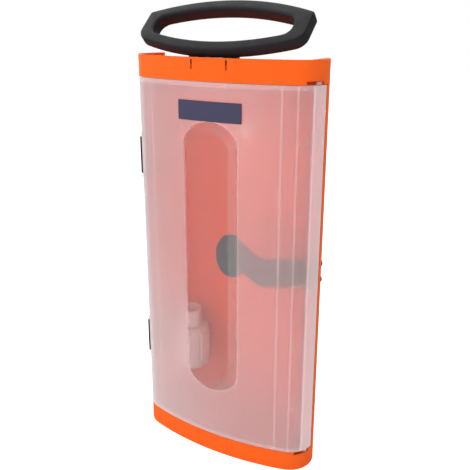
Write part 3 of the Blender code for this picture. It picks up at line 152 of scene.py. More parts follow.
@dataclass(frozen=True)
class Field:
    """A number that varies over a surface; arithmetic on it adds math nodes."""

    tree: Tree
    socket: Socket

    def math(self, operation: str, *others: "Field | float") -> "Field":
        """Add one math node that takes this field first.

        Args:
            operation: The math node's operation.
            *others: The further inputs, as fields or plain numbers.

        Returns:
            The result.
        """
        values = {i: other for i, other in enumerate(others, 1) if not isinstance(other, Field)}
        links = {i: other.socket for i, other in enumerate(others, 1) if isinstance(other, Field)}
        links[0] = self.socket
        node = add_node(self.tree, "ShaderNodeMath", values, links, operation=operation)
        return Field(self.tree, node.outputs[0])

    def __add__(self, other: "Field | float") -> "Field":
        """Add a field or a number."""
        return self.math("ADD", other)

    def __sub__(self, other: "Field | float") -> "Field":
        """Take away a field or a number."""
        return self.math("SUBTRACT", other)

    def __mul__(self, other: "Field | float") -> "Field":
        """Multiply by a field or a number."""
        return self.math("MULTIPLY", other)

    def __abs__(self) -> "Field":
        """Give the size without its sign."""
        return self.math("ABSOLUTE")

    def length(self, other: "Field") -> "Field":
        """Give the length of the vector whose two parts are this field and another."""
        return (self * self + other * other).math("SQRT")

    def ramp(self, start: float, end: float, low: float = 0.0, high: float = 1.0) -> "Field":
        """Map a span of the field onto another and hold its ends.

        Args:
            start: Where the span starts.
            end: Where it ends.
            low: The value at the start.
            high: The value at the end.

        Returns:
            The mapped field.
        """
        values = {"From Min": start, "From Max": end, "To Min": low, "To Max": high}
        node = add_node(self.tree, "ShaderNodeMapRange", values, {"Value": self.socket})
        return Field(self.tree, node.outputs["Result"])

    def blend(self, low: "Field", high: "Field | float") -> "Field":
        """Go from one field to another as this one goes from nought to one."""
        return low + (low * -1.0 + high) * self


@dataclass(frozen=True)
class Place:
    """Position on an object in metres, whole and by axis."""

    whole: Socket
    x: Field
    y: Field
    z: Field

    @classmethod
    def of(cls, tree: Tree) -> "Place":
        """Read the position in a material's node tree.

        Args:
            tree: The node tree.

        Returns:
            The position, whole and by axis.
        """
        whole = add_node(tree, "ShaderNodeTexCoord").outputs["Object"]
        axes = add_node(tree, "ShaderNodeSeparateXYZ", links={"Vector": whole})
        return cls(whole, *[Field(tree, axes.outputs[axis]) for axis in "XYZ"])


# ---------------------------------------------------------------- the case's plan


@dataclass(frozen=True)
class CasePlan:
    """The lens-shaped plan that the pieces follow."""

    width: float = 0.2190
    depth: float = 0.0790
    corner: float = 0.0288

    @property
    def corner_x(self) -> float:
        """X of the round corner's centre."""
        return self.width / 2 - self.corner

    @property
    def bow(self) -> float:
        """Radius of the front and the rear bow."""
        half = self.depth / 2
        return (self.corner_x**2 + half**2 - self.corner**2) / (2 * (half - self.corner))

    @property
    def tangent_x(self) -> float:
        """X where the corner's arc runs into the bow."""
        return self.corner_x * self.bow / (self.bow - self.corner)

    def front_y(self, x: float, inset: float = 0.0) -> float:
        """Y of the front surface at one X, moved in by an inset."""
        return self.bow - self.depth / 2 - math.sqrt((self.bow - inset) ** 2 - x**2)


PLAN = CasePlan()


# ---------------------------------------------------------------- finishes

# How fast a noise's finer layers fade, and the spans of it that read as clouds and as scuffs
NOISE_DECAY = 0.55
CLOUD_SPAN = (0.3, 0.7)
SCUFF_SPAN = (0.60, 0.72)
LEAST_ROUGHNESS = 0.02
GRAIN_STRENGTH = 0.5
SHEEN_SPREAD = 0.5


@dataclass(frozen=True)
class Finish:
    """A surface finish: one Principled shader with a moulded grain.

    The grain is given by its real size in millimetres. Where the real grain is too fine
    for the eye at arm's length, grain_mm is the coarsest size that still reads as it.
    """

    name: str
    colour: str
    roughness: float
    metallic: float = 0.0
    ior: float = 1.5
    grain_mm: float = 0.8
    grain_depth_mm: float = 0.03
    mottle: float = 0.03
    mottle_mm: float = 45.0
    gloss_drift: float = 0.05
    scuff: float = 0.08
    scuff_mm: float = 9.0
    subsurface: float = 0.0
    sheen: float = 0.0
    subsurface_reach: float = 0.002
    transmission: float = 0.0
    specular: float = 0.5

    def build(self) -> bpy.types.Material:
        """Make the material.

        Returns:
            The finished material.
        """
        material = bpy.data.materials.new(self.name)
        material.use_nodes = True
        tree = material.node_tree
        shader = tree.nodes["Principled BSDF"]
        self.set_shader(shader)
        place = Place.of(tree)
        for name, socket in self.sockets(tree, place).items():
            tree.links.new(socket, shader.inputs[name])
        return material

    def set_shader(self, shader: bpy.types.Node) -> None:
        """Set the values that are the same all over the surface.

        Args:
            shader: The Principled shader.
        """
        shader.inputs["Metallic"].default_value = self.metallic
        if not self.metallic:
            shader.inputs["IOR"].default_value = self.ior
        shader.inputs["Transmission Weight"].default_value = self.transmission
        shader.inputs["Specular IOR Level"].default_value = self.specular
        if self.sheen:
            shader.inputs["Sheen Weight"].default_value = self.sheen
            shader.inputs["Sheen Roughness"].default_value = SHEEN_SPREAD
        if self.subsurface:
            shader.inputs["Subsurface Weight"].default_value = self.subsurface
            shader.inputs["Subsurface Radius"].default_value = (1.0, 1.0, 1.0)
            shader.inputs["Subsurface Scale"].default_value = self.subsurface_reach

    def sockets(self, tree: Tree, place: Place) -> dict[str, Socket]:
        """Make what varies over the surface.

        Args:
            tree: The material's node tree.
            place: Position on the object.

        Returns:
            Sockets by the shader input that they feed.
        """
        return {
            "Base Color": self.shade(tree, place),
            "Roughness": self.dullness(tree, place).socket,
            "Normal": self.grain(tree, place, self.relief(tree, place)),
        }

    def noise(self, tree: Tree, place: Place, size_mm: float, detail: float = 3.0) -> Field:
        """Give an even cloud of noise whose lumps have a real size.

        Args:
            tree: The material's node tree.
            place: Position on the object.
            size_mm: Size of the largest lumps in millimetres.
            detail: How many finer layers lie on them.

        Returns:
            The noise, from nought to one.
        """
        values = {"Scale": 1000.0 / size_mm, "Detail": detail, "Roughness": NOISE_DECAY}
        node = add_node(tree, "ShaderNodeTexNoise", values, {"Vector": place.whole})
        return Field(tree, node.outputs["Fac"])

    def shade(self, tree: Tree, place: Place) -> Socket:
        """Give the colour: the pigment with a faint cloudiness from moulding.

        Args:
            tree: The material's node tree.
            place: Position on the object.

        Returns:
            The colour.
        """
        cloud = self.noise(tree, place, self.mottle_mm).ramp(*CLOUD_SPAN, 1 - self.mottle, 1 + self.mottle)
        node = add_node(
            tree, "ShaderNodeHueSaturation", {"Color": linear(self.colour)}, {"Value": cloud.socket}
        )
        return node.outputs["Color"]

    def dullness(self, tree: Tree, place: Place) -> Field:
        """Give the roughness, which drifts with the tool's wear and rises where it is scuffed.

        Args:
            tree: The material's node tree.
            place: Position on the object.

        Returns:
            The roughness.
        """
        low = max(self.roughness - self.gloss_drift, LEAST_ROUGHNESS)
        cloud = self.noise(tree, place, self.mottle_mm / 3, 2.0)
        scuffs = self.noise(tree, place, self.scuff_mm, 6.0).ramp(*SCUFF_SPAN, 0.0, self.scuff)
        return cloud.ramp(*CLOUD_SPAN, low, self.roughness + self.gloss_drift) + scuffs

    def relief(self, tree: Tree, place: Place) -> Field:
        """Give the grain's height, from nought to one."""
        return self.noise(tree, place, self.grain_mm, 2.0)

    def grain(self, tree: Tree, place: Place, height: Field) -> Socket:
        """Turn a height into the surface normal."""
        values = {"Strength": GRAIN_STRENGTH, "Distance": self.grain_depth_mm / 1000.0}
        return add_node(tree, "ShaderNodeBump", values, {"Height": height.socket}).outputs["Normal"]


@dataclass(frozen=True)
class CapMoulding(Finish):
    """Moulded ABS of the caps: fine grain, and a faint parting line under each front slot."""

    line_from_centre: float = 0.0203
    line_half_width: float = 0.0005
    line_height: float = 14.0
    line_shade: float = 0.20
    front_y: float = -0.030

    def parting(self, place: Place) -> Field:
        """Give one on the two upright parting lines of the front."""
        away = abs(abs(place.x) - self.line_from_centre)
        return away.ramp(0.0, self.line_half_width, 1.0, 0.0) * place.y.math("LESS_THAN", self.front_y)

    def relief(self, tree: Tree, place: Place) -> Field:
        """Add the parting lines to the grain."""
        return super().relief(tree, place) + self.parting(place) * self.line_height

    def shade(self, tree: Tree, place: Place) -> Socket:
        """Darken the colour a little in the parting lines.

        Args:
            tree: The material's node tree.
            place: Position on the object.

        Returns:
            The colour.
        """
        line = self.parting(place) * -self.line_shade + 1.0
        links = {"Color": super().shade(tree, place), "Value": line.socket}
        return add_node(tree, "ShaderNodeHueSaturation", links=links).outputs["Color"]


@dataclass(frozen=True)
class FrostedPanel(Finish):
    """Natural polypropylene of the door: spark-eroded outside, polished inside.

    The milky resin scatters part of the light and lets the orange shell glow through. The
    pressed window is polished on both faces. Where ribs, webs and corners make the wall
    thicker, it reads milkier from outside, and so does its foot. The sump is the window's
    lower end, where the recess is milkier too.
    """

    haze: float = 0.285
    inner_haze: float = 0.02
    edge_haze: float = 0.36
    edge_start: float = 0.1036
    edge_blend: float = 0.0006
    return_haze: float = 0.16
    return_start: float = 0.1965
    return_blend: float = 0.0010
    door_half_height: float = 0.2015
    foot_haze: float = 0.17
    foot_side: tuple[float, float] = (0.03, -0.09)
    foot_shares: tuple[float, float] = (0.45, 1.0)
    foot_span: tuple[float, float] = (0.26, 0.03)
    rib_haze: float = 0.16
    # Painted highlight: the window's border turns milkier towards its right slope, as if lit
    slope_highlight_haze: float = 0.075
    floor_haze: float = 0.02
    slope_highlight_span: tuple[float, float] = (-0.026, 0.018)
    # Painted highlight: a pale line round the window's rounded rim
    rim_highlight: float = 0.16
    rim_insets: tuple[float, float] = (-0.0004, 0.0006)
    sump_haze: float = 0.05
    sump_span: tuple[float, float] = (0.150, 0.090)
    sump_shares: tuple[float, float] = (0.5, 1.0)
    inner_roughness: float = 0.22
    window_roughness: float = 0.09
    skin: float = 0.0006
    skin_blend: float = 0.0004
    middle_x: float = 0.0007
    half_width: float = 0.0326
    half_height: float = 0.153
    centre: float = 0.235
    arch: float = 0.025
    outline_blend: tuple[float, float] = (0.97, 1.03)
    border: float = 0.013
    # Share of the painted pink glow that stays in the window
    window_painted_glow: float = 0.45
    gusset: float = 0.0200
    gusset_start: float = 0.1890
    ribs: tuple[float, ...] = (0.0772, 0.0922, 0.1040)
    rib_half_width: float = 0.0006
    web_pitch: float = 0.0733
    web_middle: float = 0.225

    def arched(self, place: Place, inset: float) -> Field:
        """Give one inside the window's outline moved in by an inset, nought outside.

        Args:
            place: Position on the object.
            inset: How far the outline is moved in.

        Returns:
            The mask.
        """
        width = self.half_width - inset
        arch = self.arch * width / self.half_width
        side = (place.x - self.middle_x) * (1 / width)
        beyond = abs(place.z - self.centre) - (self.half_height - inset - arch)
        return side.length(beyond.math("MAXIMUM", 0.0) * (1 / arch)).ramp(*self.outline_blend, 1.0, 0.0)

    def depth(self, place: Place) -> Field:
        """Give how far below the case's lens-shaped outside a point lies.

        Args:
            place: Position on the object.

        Returns:
            The depth in metres.
        """
        bow = place.x.length(place.y - (PLAN.bow - PLAN.depth / 2)) * -1.0 + PLAN.bow
        corner = (abs(place.x) - PLAN.corner_x).length(place.y) * -1.0 + PLAN.corner
        at_corner = abs(place.x).math("GREATER_THAN", PLAN.tangent_x)
        return at_corner.blend(bow, corner)

    def read_through(self, place: Place) -> Field:
        """Give one where a rib or a web stands behind the wall.

        Args:
            place: Position on the object.

        Returns:
            The mask.
        """
        across = abs(place.x)
        band = (self.rib_half_width, self.rib_half_width + self.skin, 1.0, 0.0)
        lines = [abs(across - rib).ramp(*band) for rib in self.ribs]
        level = (place.z - self.web_middle + self.web_pitch / 2).math("FLOORED_MODULO", self.web_pitch)
        web = abs(level - self.web_pitch / 2).ramp(*band)
        between = abs(across - (self.ribs[1] + self.ribs[2]) / 2)
        shown = web * between.math("LESS_THAN", (self.ribs[2] - self.ribs[1]) / 2)
        gusset = abs(across - self.gusset).ramp(*band)
        lines.append(gusset * (place.z - self.web_middle).math("GREATER_THAN", self.gusset_start))
        for line in lines:
            shown = shown.math("MAXIMUM", line)
        return shown

    def shade(self, tree: Tree, place: Place) -> Socket:
        """Give the resin's colour: milky white painted pink for the glow of the orange shell behind it,
        fainter in the window.

        Args:
            tree: The material's node tree.
            place: Position on the object.

        Returns:
            The colour.
        """
        saturation = self.arched(place, 0.0).ramp(0.0, 1.0, 1.0, self.window_painted_glow)
        values, links = {"Color": linear(self.colour)}, {"Saturation": saturation.socket}
        return add_node(tree, "ShaderNodeHueSaturation", values, links).outputs["Color"]

    def sockets(self, tree: Tree, place: Place) -> dict[str, Socket]:
        """Add how much light each part of the panel lets through.

        Args:
            tree: The material's node tree.
            place: Position on the object.

        Returns:
            Sockets by the shader input that they feed.
        """
        window = self.arched(place, 0.0)
        floor = self.arched(place, self.border)
        inside = self.depth(place).ramp(self.skin, self.skin + self.skin_blend)
        foot = place.z.ramp(*self.foot_span) * place.x.ramp(*self.foot_side, *self.foot_shares)
        height = abs(place.z - self.web_middle)
        return_end = self.return_start + self.return_blend
        ends = height.ramp(self.return_start, return_end, 0.0, self.return_haze)
        edge_end = self.edge_start + self.edge_blend
        edge = abs(place.x).ramp(self.edge_start, edge_end, 0.0, self.edge_haze)
        outer = ends.math("MAXIMUM", edge) + foot * self.foot_haze + self.haze
        outer = outer * height.math("LESS_THAN", self.door_half_height)
        outer = outer + self.read_through(place) * self.rib_haze
        milk = inside.blend(outer, self.inner_haze)
        # Painted highlight: the border goes from the floor's haze on the left slope to more haze on the
        # right slope, for the light that slope reflects
        slope_highlight = place.x.ramp(*self.slope_highlight_span, self.floor_haze, self.slope_highlight_haze)
        sump = place.z.ramp(*self.sump_span) * place.x.ramp(*self.foot_side, *self.sump_shares)
        milk = window.blend(milk, floor.blend(slope_highlight, self.floor_haze) + sump * self.sump_haze)
        # Painted highlight: a milky line round the window's rim, up to twice as strong at the sump
        outer_rim, inner_rim = [self.arched(place, inset) for inset in self.rim_insets]
        rim = outer_rim - inner_rim
        milk = milk + rim * (sump + 1.0) * self.rim_highlight
        dull = inside.blend(self.dullness(tree, place), self.inner_roughness)
        dull = window.blend(dull, self.window_roughness)
        relief = self.relief(tree, place) * window.ramp(0.0, 1.0, 1.0, 0.0)
        return {
            "Base Color": self.shade(tree, place),
            "Transmission Weight": (milk * -1.0 + 1.0).socket,
            "Roughness": dull.socket,
            "Normal": self.grain(tree, place, relief),
        }


# Injection-moulded ABS: an even satin with a spark-eroded grain; the eye sees saturated orange,
# and the thin wall passes a little of the light behind it, so that its shadows stay red
ORANGE_ABS = CapMoulding(
    "moulded_abs_orange",
    "F56210",
    0.42,
    ior=1.54,
    grain_mm=0.9,
    grain_depth_mm=0.012,
    subsurface=0.5,
    specular=0.2,
)
# Natural polypropylene, one thin moulding: milky, matt outside, glossy in the recess; its base colour
# # is painted pink for the glow of the orange that shines back through it
FROSTED_PP = FrostedPanel(
    "moulded_natural_polypropylene", "FFD9D9", 0.40, ior=1.49, mottle=0.01, subsurface=1.0, sheen=1.0
)
# Glass-filled nylon: charcoal with a fine dry grain that spreads its highlights
BLACK_NYLON = Finish("moulded_glass_filled_nylon", "1E1D21", 0.50, ior=1.53, grain_mm=1.0)
# Vulcanised rubber: the darkest piece, nearly matt, with a slightly dusty bloom
BLACK_RUBBER = Finish("vulcanised_rubber", "19181F", 0.72, ior=1.52, grain_mm=1.2, mottle=0.08)
# Cast vinyl film: smooth, a soft sheen, and slight ripples from being laid by hand
NAVY_VINYL = Finish("cast_vinyl_film", "403E58", 0.34, ior=1.53, grain_mm=4.0, grain_depth_mm=0.02)
# Zinc-plated steel: bright bluish grey with fine tumbling marks
ZINC_STEEL = Finish("zinc_plated_steel", "B9BDC2", 0.30, metallic=1.0, grain_mm=0.6, grain_depth_mm=0.01)
# Rivet-grade aluminium: paler and softer than the steel
RIVET_ALUMINIUM = Finish("drawn_aluminium", "C6C8CB", 0.38, metallic=1.0, grain_mm=0.6, grain_depth_mm=0.01)
# Blow-moulded polyethylene: waxy white, and light creeps under its surface
BOTTLE_PE = Finish("blow_moulded_polyethylene", "F8F5F2", 0.45, ior=1.51, subsurface=0.15, grain_mm=1.5)
# Natural polypropylene of the clip: thin, milky and a little waxy
MILKY_PP = Finish("moulded_milky_polypropylene", "F3E6E2", 0.38, ior=1.49, subsurface=0.4, grain_mm=1.2)
# Moulded polypropylene closure: clean white with a soft gloss
WHITE_PP = Finish("moulded_white_polypropylene", "FAF7F4", 0.36, ior=1.49, subsurface=0.15)


class Palette:
    """Makes each finish's material once and hands it out."""

    def __init__(self) -> None:
        """Start with no material made."""
        self.made: dict[str, bpy.types.Material] = {}

    def get(self, finish: Finish) -> bpy.types.Material:
        """Give a finish's material, making it on the first call.

        Args:
            finish: The finish.

        Returns:
            Its material.
        """
        if finish.name not in self.made:
            self.made[finish.name] = finish.build()
        return self.made[finish.name]


# ---------------------------------------------------------------- meshes


def object_from(name: str, builder: bmesh.types.BMesh) -> bpy.types.Object:
    """Turn a bmesh into a smooth-shaded object with outward faces.

    Args:
        name: The piece's name.
        builder: The mesh, which is freed.

    Returns:
        The linked object.
    """
    bmesh.ops.remove_doubles(builder, verts=builder.verts, dist=1e-7)
    bmesh.ops.recalc_face_normals(builder, faces=builder.faces)
    mesh = bpy.data.meshes.new(name)
    builder.to_mesh(mesh)
    builder.free()
    mesh.shade_smooth()
    mesh.set_sharp_from_angle(angle=math.radians(40))
    item = bpy.data.objects.new(name, mesh)
    bpy.context.scene.collection.objects.link(item)
    return item


def skin(rings: Sequence[Sequence[Vector]], closed: bool = False) -> bmesh.types.BMesh:
    """Join rings of equal length into one solid.

    Args:
        rings: Rows of points, each a closed loop.
        closed: True joins the last ring to the first; False caps both ends.

    Returns:
        The mesh.
    """
    builder = bmesh.new()
    rows = [[builder.verts.new(point) for point in ring] for ring in rings]
    pairs = list(zip(rows, rows[1:]))
    if closed:
        pairs.append((rows[-1], rows[0]))
    count = len(rows[0])
    for low, high in pairs:
        for i in range(count):
            j = (i + 1) % count
            builder.faces.new((low[i], low[j], high[j], high[i]))
    if not closed:
        builder.faces.new(rows[0])
        builder.faces.new(rows[-1])
    return builder


def eased(value: float, start: float, end: float) -> float:
    """Rise smoothly from nought at the start to one at the end."""
    share = min(max((value - start) / (end - start), 0.0), 1.0)
    return share * share * (3 - 2 * share)


def quarter(steps: int) -> list[Point]:
    """Give the sine and cosine at even steps round a quarter turn, both ends included."""
    turns = [math.pi / 2 * i / steps for i in range(steps + 1)]
    return [(math.sin(turn), math.cos(turn)) for turn in turns]


def lathe(
    profile: Sequence[Point], steps: int = 64, ripple: Callable[[float, float], float] | None = None
) -> bmesh.types.BMesh:
    """Turn a profile of (radius, height) about Z into a capped solid.

    Args:
        profile: Stations from one end to the other.
        steps: Divisions round the axis.
        ripple: Gives a radius change from an angle and a height, for ribs.

    Returns:
        The mesh.
    """
    rings = []
    for radius, height in profile:
        ring = []
        for i in range(steps):
            turn = 2 * math.pi * i / steps
            size = radius + (ripple(turn, height) if ripple else 0.0)
            ring.append(Vector((size * math.cos(turn), size * math.sin(turn), height)))
        rings.append(ring)
    return skin(rings)


def place_mesh(builder: bmesh.types.BMesh, matrix: Matrix) -> bmesh.types.BMesh:
    """Move a mesh in place and hand it back."""
    bmesh.ops.transform(builder, matrix=matrix, verts=builder.verts)
    return builder


def subtract(item: bpy.types.Object, tool: bpy.types.Object) -> None:
    """Take a tool object's shape away from an item and remove the tool.

    Args:
        item: The object that is cut.
        tool: The cutter.
    """
    modifier = item.modifiers.new("cut", "BOOLEAN")
    modifier.operation = "DIFFERENCE"
    modifier.solver = "EXACT"
    modifier.object = tool
    graph = bpy.context.evaluated_depsgraph_get()
    mesh = bpy.data.meshes.new_from_object(item.evaluated_get(graph))
    item.modifiers.remove(modifier)
    item.data = mesh
    mesh.shade_smooth()
    mesh.set_sharp_from_angle(angle=math.radians(40))
    bpy.data.objects.remove(tool, do_unlink=True)


def add_piece(
    item: bpy.types.Object,
    material: bpy.types.Material,
    body: Body,
    stands_for: Sequence[str] = (),
) -> bpy.types.Object:
    """Dress a new piece and tie it to the frame.

    Args:
        item: The piece, in place.
        material: Its material.
        body: The body that it rides on.
        stands_for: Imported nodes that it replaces.

    Returns:
        The same piece.
    """
    item.data.materials.clear()
    item.data.materials.append(material)
    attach(item, body.value)
    if stands_for:
        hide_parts(*stands_for)
    log.info("piece %s on %s", item.name, body.value)
    return item


@dataclass(frozen=True)
class EdgeRound:
    """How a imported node's edges are rounded and its curves smoothed."""

    width: float = 0.0004
    segments: int = 2
    angle: float = math.radians(38)

    def apply(self, item: bpy.types.Object) -> None:
        """Add the modifiers that weld, round and smooth a node without changing its mesh.

        Args:
            item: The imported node.
        """
        item.data.polygons.foreach_set("use_smooth", [True] * len(item.data.polygons))
        weld = item.modifiers.new("weld", "WELD")
        weld.merge_threshold = 0.000002
        flats = item.modifiers.new("flats", "DECIMATE")
        flats.decimate_type = "DISSOLVE"
        flats.angle_limit = math.radians(0.3)
        if self.width:
            bevel = item.modifiers.new("edges", "BEVEL")
            bevel.width = self.width
            bevel.segments = self.segments
            bevel.limit_method = "ANGLE"
            bevel.angle_limit = self.angle
            bevel.use_clamp_overlap = True
        normals = item.modifiers.new("normals", "WEIGHTED_NORMAL")
        normals.keep_sharp = False


def dress_node(name: str, material: bpy.types.Material, edges: EdgeRound) -> None:
    """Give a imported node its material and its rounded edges.

    Args:
        name: The node.
        material: Its material.
        edges: How its edges are rounded.
    """
    node = frame["nodes"][name]
    node.data.materials.clear()
    node.data.materials.append(material)
    edges.apply(node)
    log.info("node %s dressed in %s", name, material.name)


# ---------------------------------------------------------------- sub-assemblies


@dataclass
class Shell:
    """The rear half of the case and its two caps."""

    palette: Palette
    edge: float = 0.0005

    def dress(self) -> None:
        """Dress the shell and the caps."""
        orange = self.palette.get(ORANGE_ABS)
        for name in ("back_shell", "top_cap", "bottom_cap"):
            dress_node(name, orange, EdgeRound(self.edge))


@dataclass
class Door:
    """The frosted door with its label and its gate mark."""

    palette: Palette
    label_width: float = 0.0750
    label_height: float = 0.0200
    label_corner: float = 0.0008
    label_stand: float = 0.0003
    label_thickness: float = 0.0003
    label_columns: int = 24
    gate_x: float = 0.0025
    gate_z: float = 0.2250
    gate_radius: float = 0.0024
    gate_wire: float = 0.00035
    gate_flatness: float = 0.6
    gate_sink: float = 0.0002
    gate_steps: int = 32
    gate_sides: int = 10
    window_depth: float = 0.0030

    def dress(self) -> None:
        """Dress the door and its steel pins."""
        dress_node("door", self.palette.get(FROSTED_PP), EdgeRound(0.0004))
        for name in ("latch_pin_lower", "latch_pin_upper", "door_pivot_pin_lower", "door_pivot_pin_upper"):
            dress_node(name, self.palette.get(ZINC_STEEL), EdgeRound(0.0001))

    def build_label(self) -> None:
        """Build the bare label with round corners, bowed like the door."""
        low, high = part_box("door_label")
        middle = (low.z + high.z) / 2
        half_w, half_h = self.label_width / 2, self.label_height / 2
        left = [
            (-half_w + self.label_corner * (1 - away), half_h - self.label_corner * (1 - along))
            for away, along in reversed(quarter(4))
        ]
        step = self.label_width / self.label_columns
        inner = [(-half_w + step * i, half_h) for i in range(1, self.label_columns)]
        loops = []
        for x, h in left + inner + [(-x, h) for x, h in reversed(left)]:
            back = PLAN.front_y(x, -self.label_stand)
            face = PLAN.front_y(x, -self.label_stand - self.label_thickness)
            corners = ((back, -h), (face, -h), (face, h), (back, h))
            loops.append([Vector((x, y, middle + z)) for y, z in corners])
        label = object_from("label_plate", skin(loops))
        add_piece(label, self.palette.get(NAVY_VINYL), Body.DOOR, ["door_label"])

    def build_gate_mark(self) -> None:
        """Build the ring that the mould's gate leaves in the recess."""
        y = PLAN.front_y(self.gate_x) + self.window_depth - self.gate_sink
        leans = [2 * math.pi * k / self.gate_sides for k in range(self.gate_sides)]
        rings = []
        for i in range(self.gate_steps):
            turn = 2 * math.pi * i / self.gate_steps
            ring = []
            for lean in leans:
                radius = self.gate_radius + self.gate_wire * math.cos(lean)
                x, z = self.gate_x + radius * math.cos(turn), self.gate_z + radius * math.sin(turn)
                ring.append(Vector((x, y + self.gate_wire * self.gate_flatness * math.sin(lean), z)))
            rings.append(ring)
        mark = object_from("gate_mark", skin(rings, closed=True))
        add_piece(mark, self.palette.get(FROSTED_PP), Body.DOOR)


@dataclass
class Latches:
    """The two side latches with their finger ridges."""

    palette: Palette
    ridge_angles: tuple[float, ...] = (164.9, 166.2, 167.5)
    ridge_radius: float = 0.00032
    ridge_length: float = 0.034
    face_radius: float = 0.0318

    def build_ridges(self, name: str, body: Body) -> None:
        """Build the ridges by a latch's tip that a finger pulls on.

        Args:
            name: The latch's node.
            body: The body that it moves with.
        """
        low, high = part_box(name)
        middle = (low.z + high.z) / 2
        half = self.ridge_length / 2
        end = [(self.ridge_radius * w, half - self.ridge_radius * (1 - h)) for w, h in quarter(4)[1:]]
        profile = [(w, -h) for w, h in end] + end[::-1]
        for number, angle in enumerate(self.ridge_angles, 1):
            turn = math.radians(angle)
            x = -PLAN.corner_x + self.face_radius * math.cos(turn)
            place = Matrix.Translation((x, self.face_radius * math.sin(turn), middle))
            ridge = object_from(f"{name}_ridge_{number}", place_mesh(lathe(profile, 16), place))
            add_piece(ridge, self.palette.get(BLACK_NYLON), body)

    def dress(self) -> None:
        """Dress both latches and ridge them."""
        for name, body in (("latch_lower", Body.LATCH_LOWER), ("latch_upper", Body.LATCH_UPPER)):
            dress_node(name, self.palette.get(BLACK_NYLON), EdgeRound(0.0005))
            self.build_ridges(name, body)


@dataclass
class Handle:
    """The ring handle, its bracket, pins and washers."""

    palette: Palette

    def dress(self) -> None:
        """Dress the handle and what it turns on."""
        nylon = self.palette.get(BLACK_NYLON)
        dress_node("handle", nylon, EdgeRound(0.0))
        dress_node("handle_bracket", nylon, EdgeRound(0.0003))
        for side in ("left", "right"):
            dress_node(f"handle_pin_{side}", self.palette.get(ZINC_STEEL), EdgeRound(0.0001))
            dress_node(f"handle_washer_{side}", self.palette.get(ZINC_STEEL), EdgeRound(0.0001))


@dataclass
class PowderBottle:
    """The powder bottle, its ribbed cap and the clip on the rear wall."""

    palette: Palette
    neck: float = 0.0100
    neck_bead: float = 0.0012
    foot: float = 0.0020
    sole_inset: float = 0.0050
    straight: float = 0.0470
    shoulder: float = 0.0060
    ring_place: float = 0.0038
    ring_reach: float = 0.0006
    ring_depth: float = 0.0003
    ring_lips: tuple[float, float] = (0.0003, 0.0004)
    body_sides: int = 72
    rib_count: int = 44
    rib_depth: float = 0.00035
    rib_foot: float = 0.0018
    cap_flare: float = 0.0012
    cap_edge: float = 0.0012
    cap_dish: float = 0.0003
    cap_sides: int = 176

    def axis(self) -> Matrix:
        """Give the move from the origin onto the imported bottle's axis."""
        low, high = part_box("bottle_body")
        return Matrix.Translation(((low.x + high.x) / 2, (low.y + high.y) / 2, 0))

    def build_body(self) -> None:
        """Build the blown bottle with a round foot and shoulder and two pressed rings."""
        low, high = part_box("bottle_body")
        radius = (high.x - low.x) / 2
        base = low.z
        body_top = base + self.straight
        profile: list[Point] = [(radius - self.sole_inset, base), (radius - self.foot, base)]
        for s, c in quarter(6)[1:]:
            profile.append((radius - self.foot * (1 - s), base + self.foot * (1 - c)))
        pressed = (base + self.ring_place, body_top - self.ring_place)
        near, far = self.ring_lips
        stops = (pressed[0] - near, pressed[0] + far, pressed[1] - far, pressed[1] + near)
        profile += [(radius, z) for z in stops]
        for s, c in quarter(8):
            profile.append((radius - self.shoulder * (1 - c), body_top + self.shoulder * s))
        neck_foot = body_top + self.shoulder
        profile += [(self.neck + self.neck_bead, neck_foot), (self.neck, neck_foot + 0.0008)]
        profile.append((self.neck, high.z))

        def waist(turn: float, z: float) -> float:
            """Press two shallow rings into the body."""
            return -self.ring_depth if min(abs(z - ring) for ring in pressed) < self.ring_reach else 0.0

        mesh = place_mesh(lathe(profile, self.body_sides, waist), self.axis())
        body = object_from("bottle_body_blown", mesh)
        add_piece(body, self.palette.get(BOTTLE_PE), Body.BOTTLE, ["bottle_body"])

    def build_cap(self) -> None:
        """Build the cap with a plain band, a ribbed skirt and a dished top."""
        low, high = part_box("bottle_cap")
        outer = (high.x - low.x) / 2 + self.cap_flare
        band = low.z + self.rib_foot
        stations: list[Point] = [
            (self.neck + 0.0006, low.z),
            (outer - 0.0002, low.z),
            (outer, low.z + 0.0003),
            (outer, band - 0.0002),
            (outer, band + 0.0002),
            (outer, high.z - self.cap_edge - 0.0008),
        ]
        for s, c in quarter(5):
            stations.append((outer - self.cap_edge * (1 - c), high.z - self.cap_edge * (1 - s)))
        dish = high.z - self.cap_dish
        stations += [(outer - 0.0030, high.z), (outer - 0.0034, dish), (0.0008, dish)]
        rib_top = high.z - self.cap_edge

        def ribs(turn: float, z: float) -> float:
            """Cut the grip's grooves between the skirt's band and the top edge."""
            groove = self.rib_depth * (0.5 + 0.5 * math.cos(self.rib_count * turn))
            return -groove if band < z < rib_top else 0.0

        mesh = place_mesh(lathe(stations, self.cap_sides, ribs), self.axis())
        cap = object_from("bottle_cap_ribbed", mesh)
        add_piece(cap, self.palette.get(WHITE_PP), Body.BOTTLE_CAP, ["bottle_cap"])

    def build(self) -> None:
        """Build the bottle and its cap, and dress the sifter and the clip."""
        self.build_body()
        self.build_cap()
        dress_node("bottle_sifter", self.palette.get(WHITE_PP), EdgeRound(0.0001))
        dress_node("bottle_clip", self.palette.get(MILKY_PP), EdgeRound(0.0004))


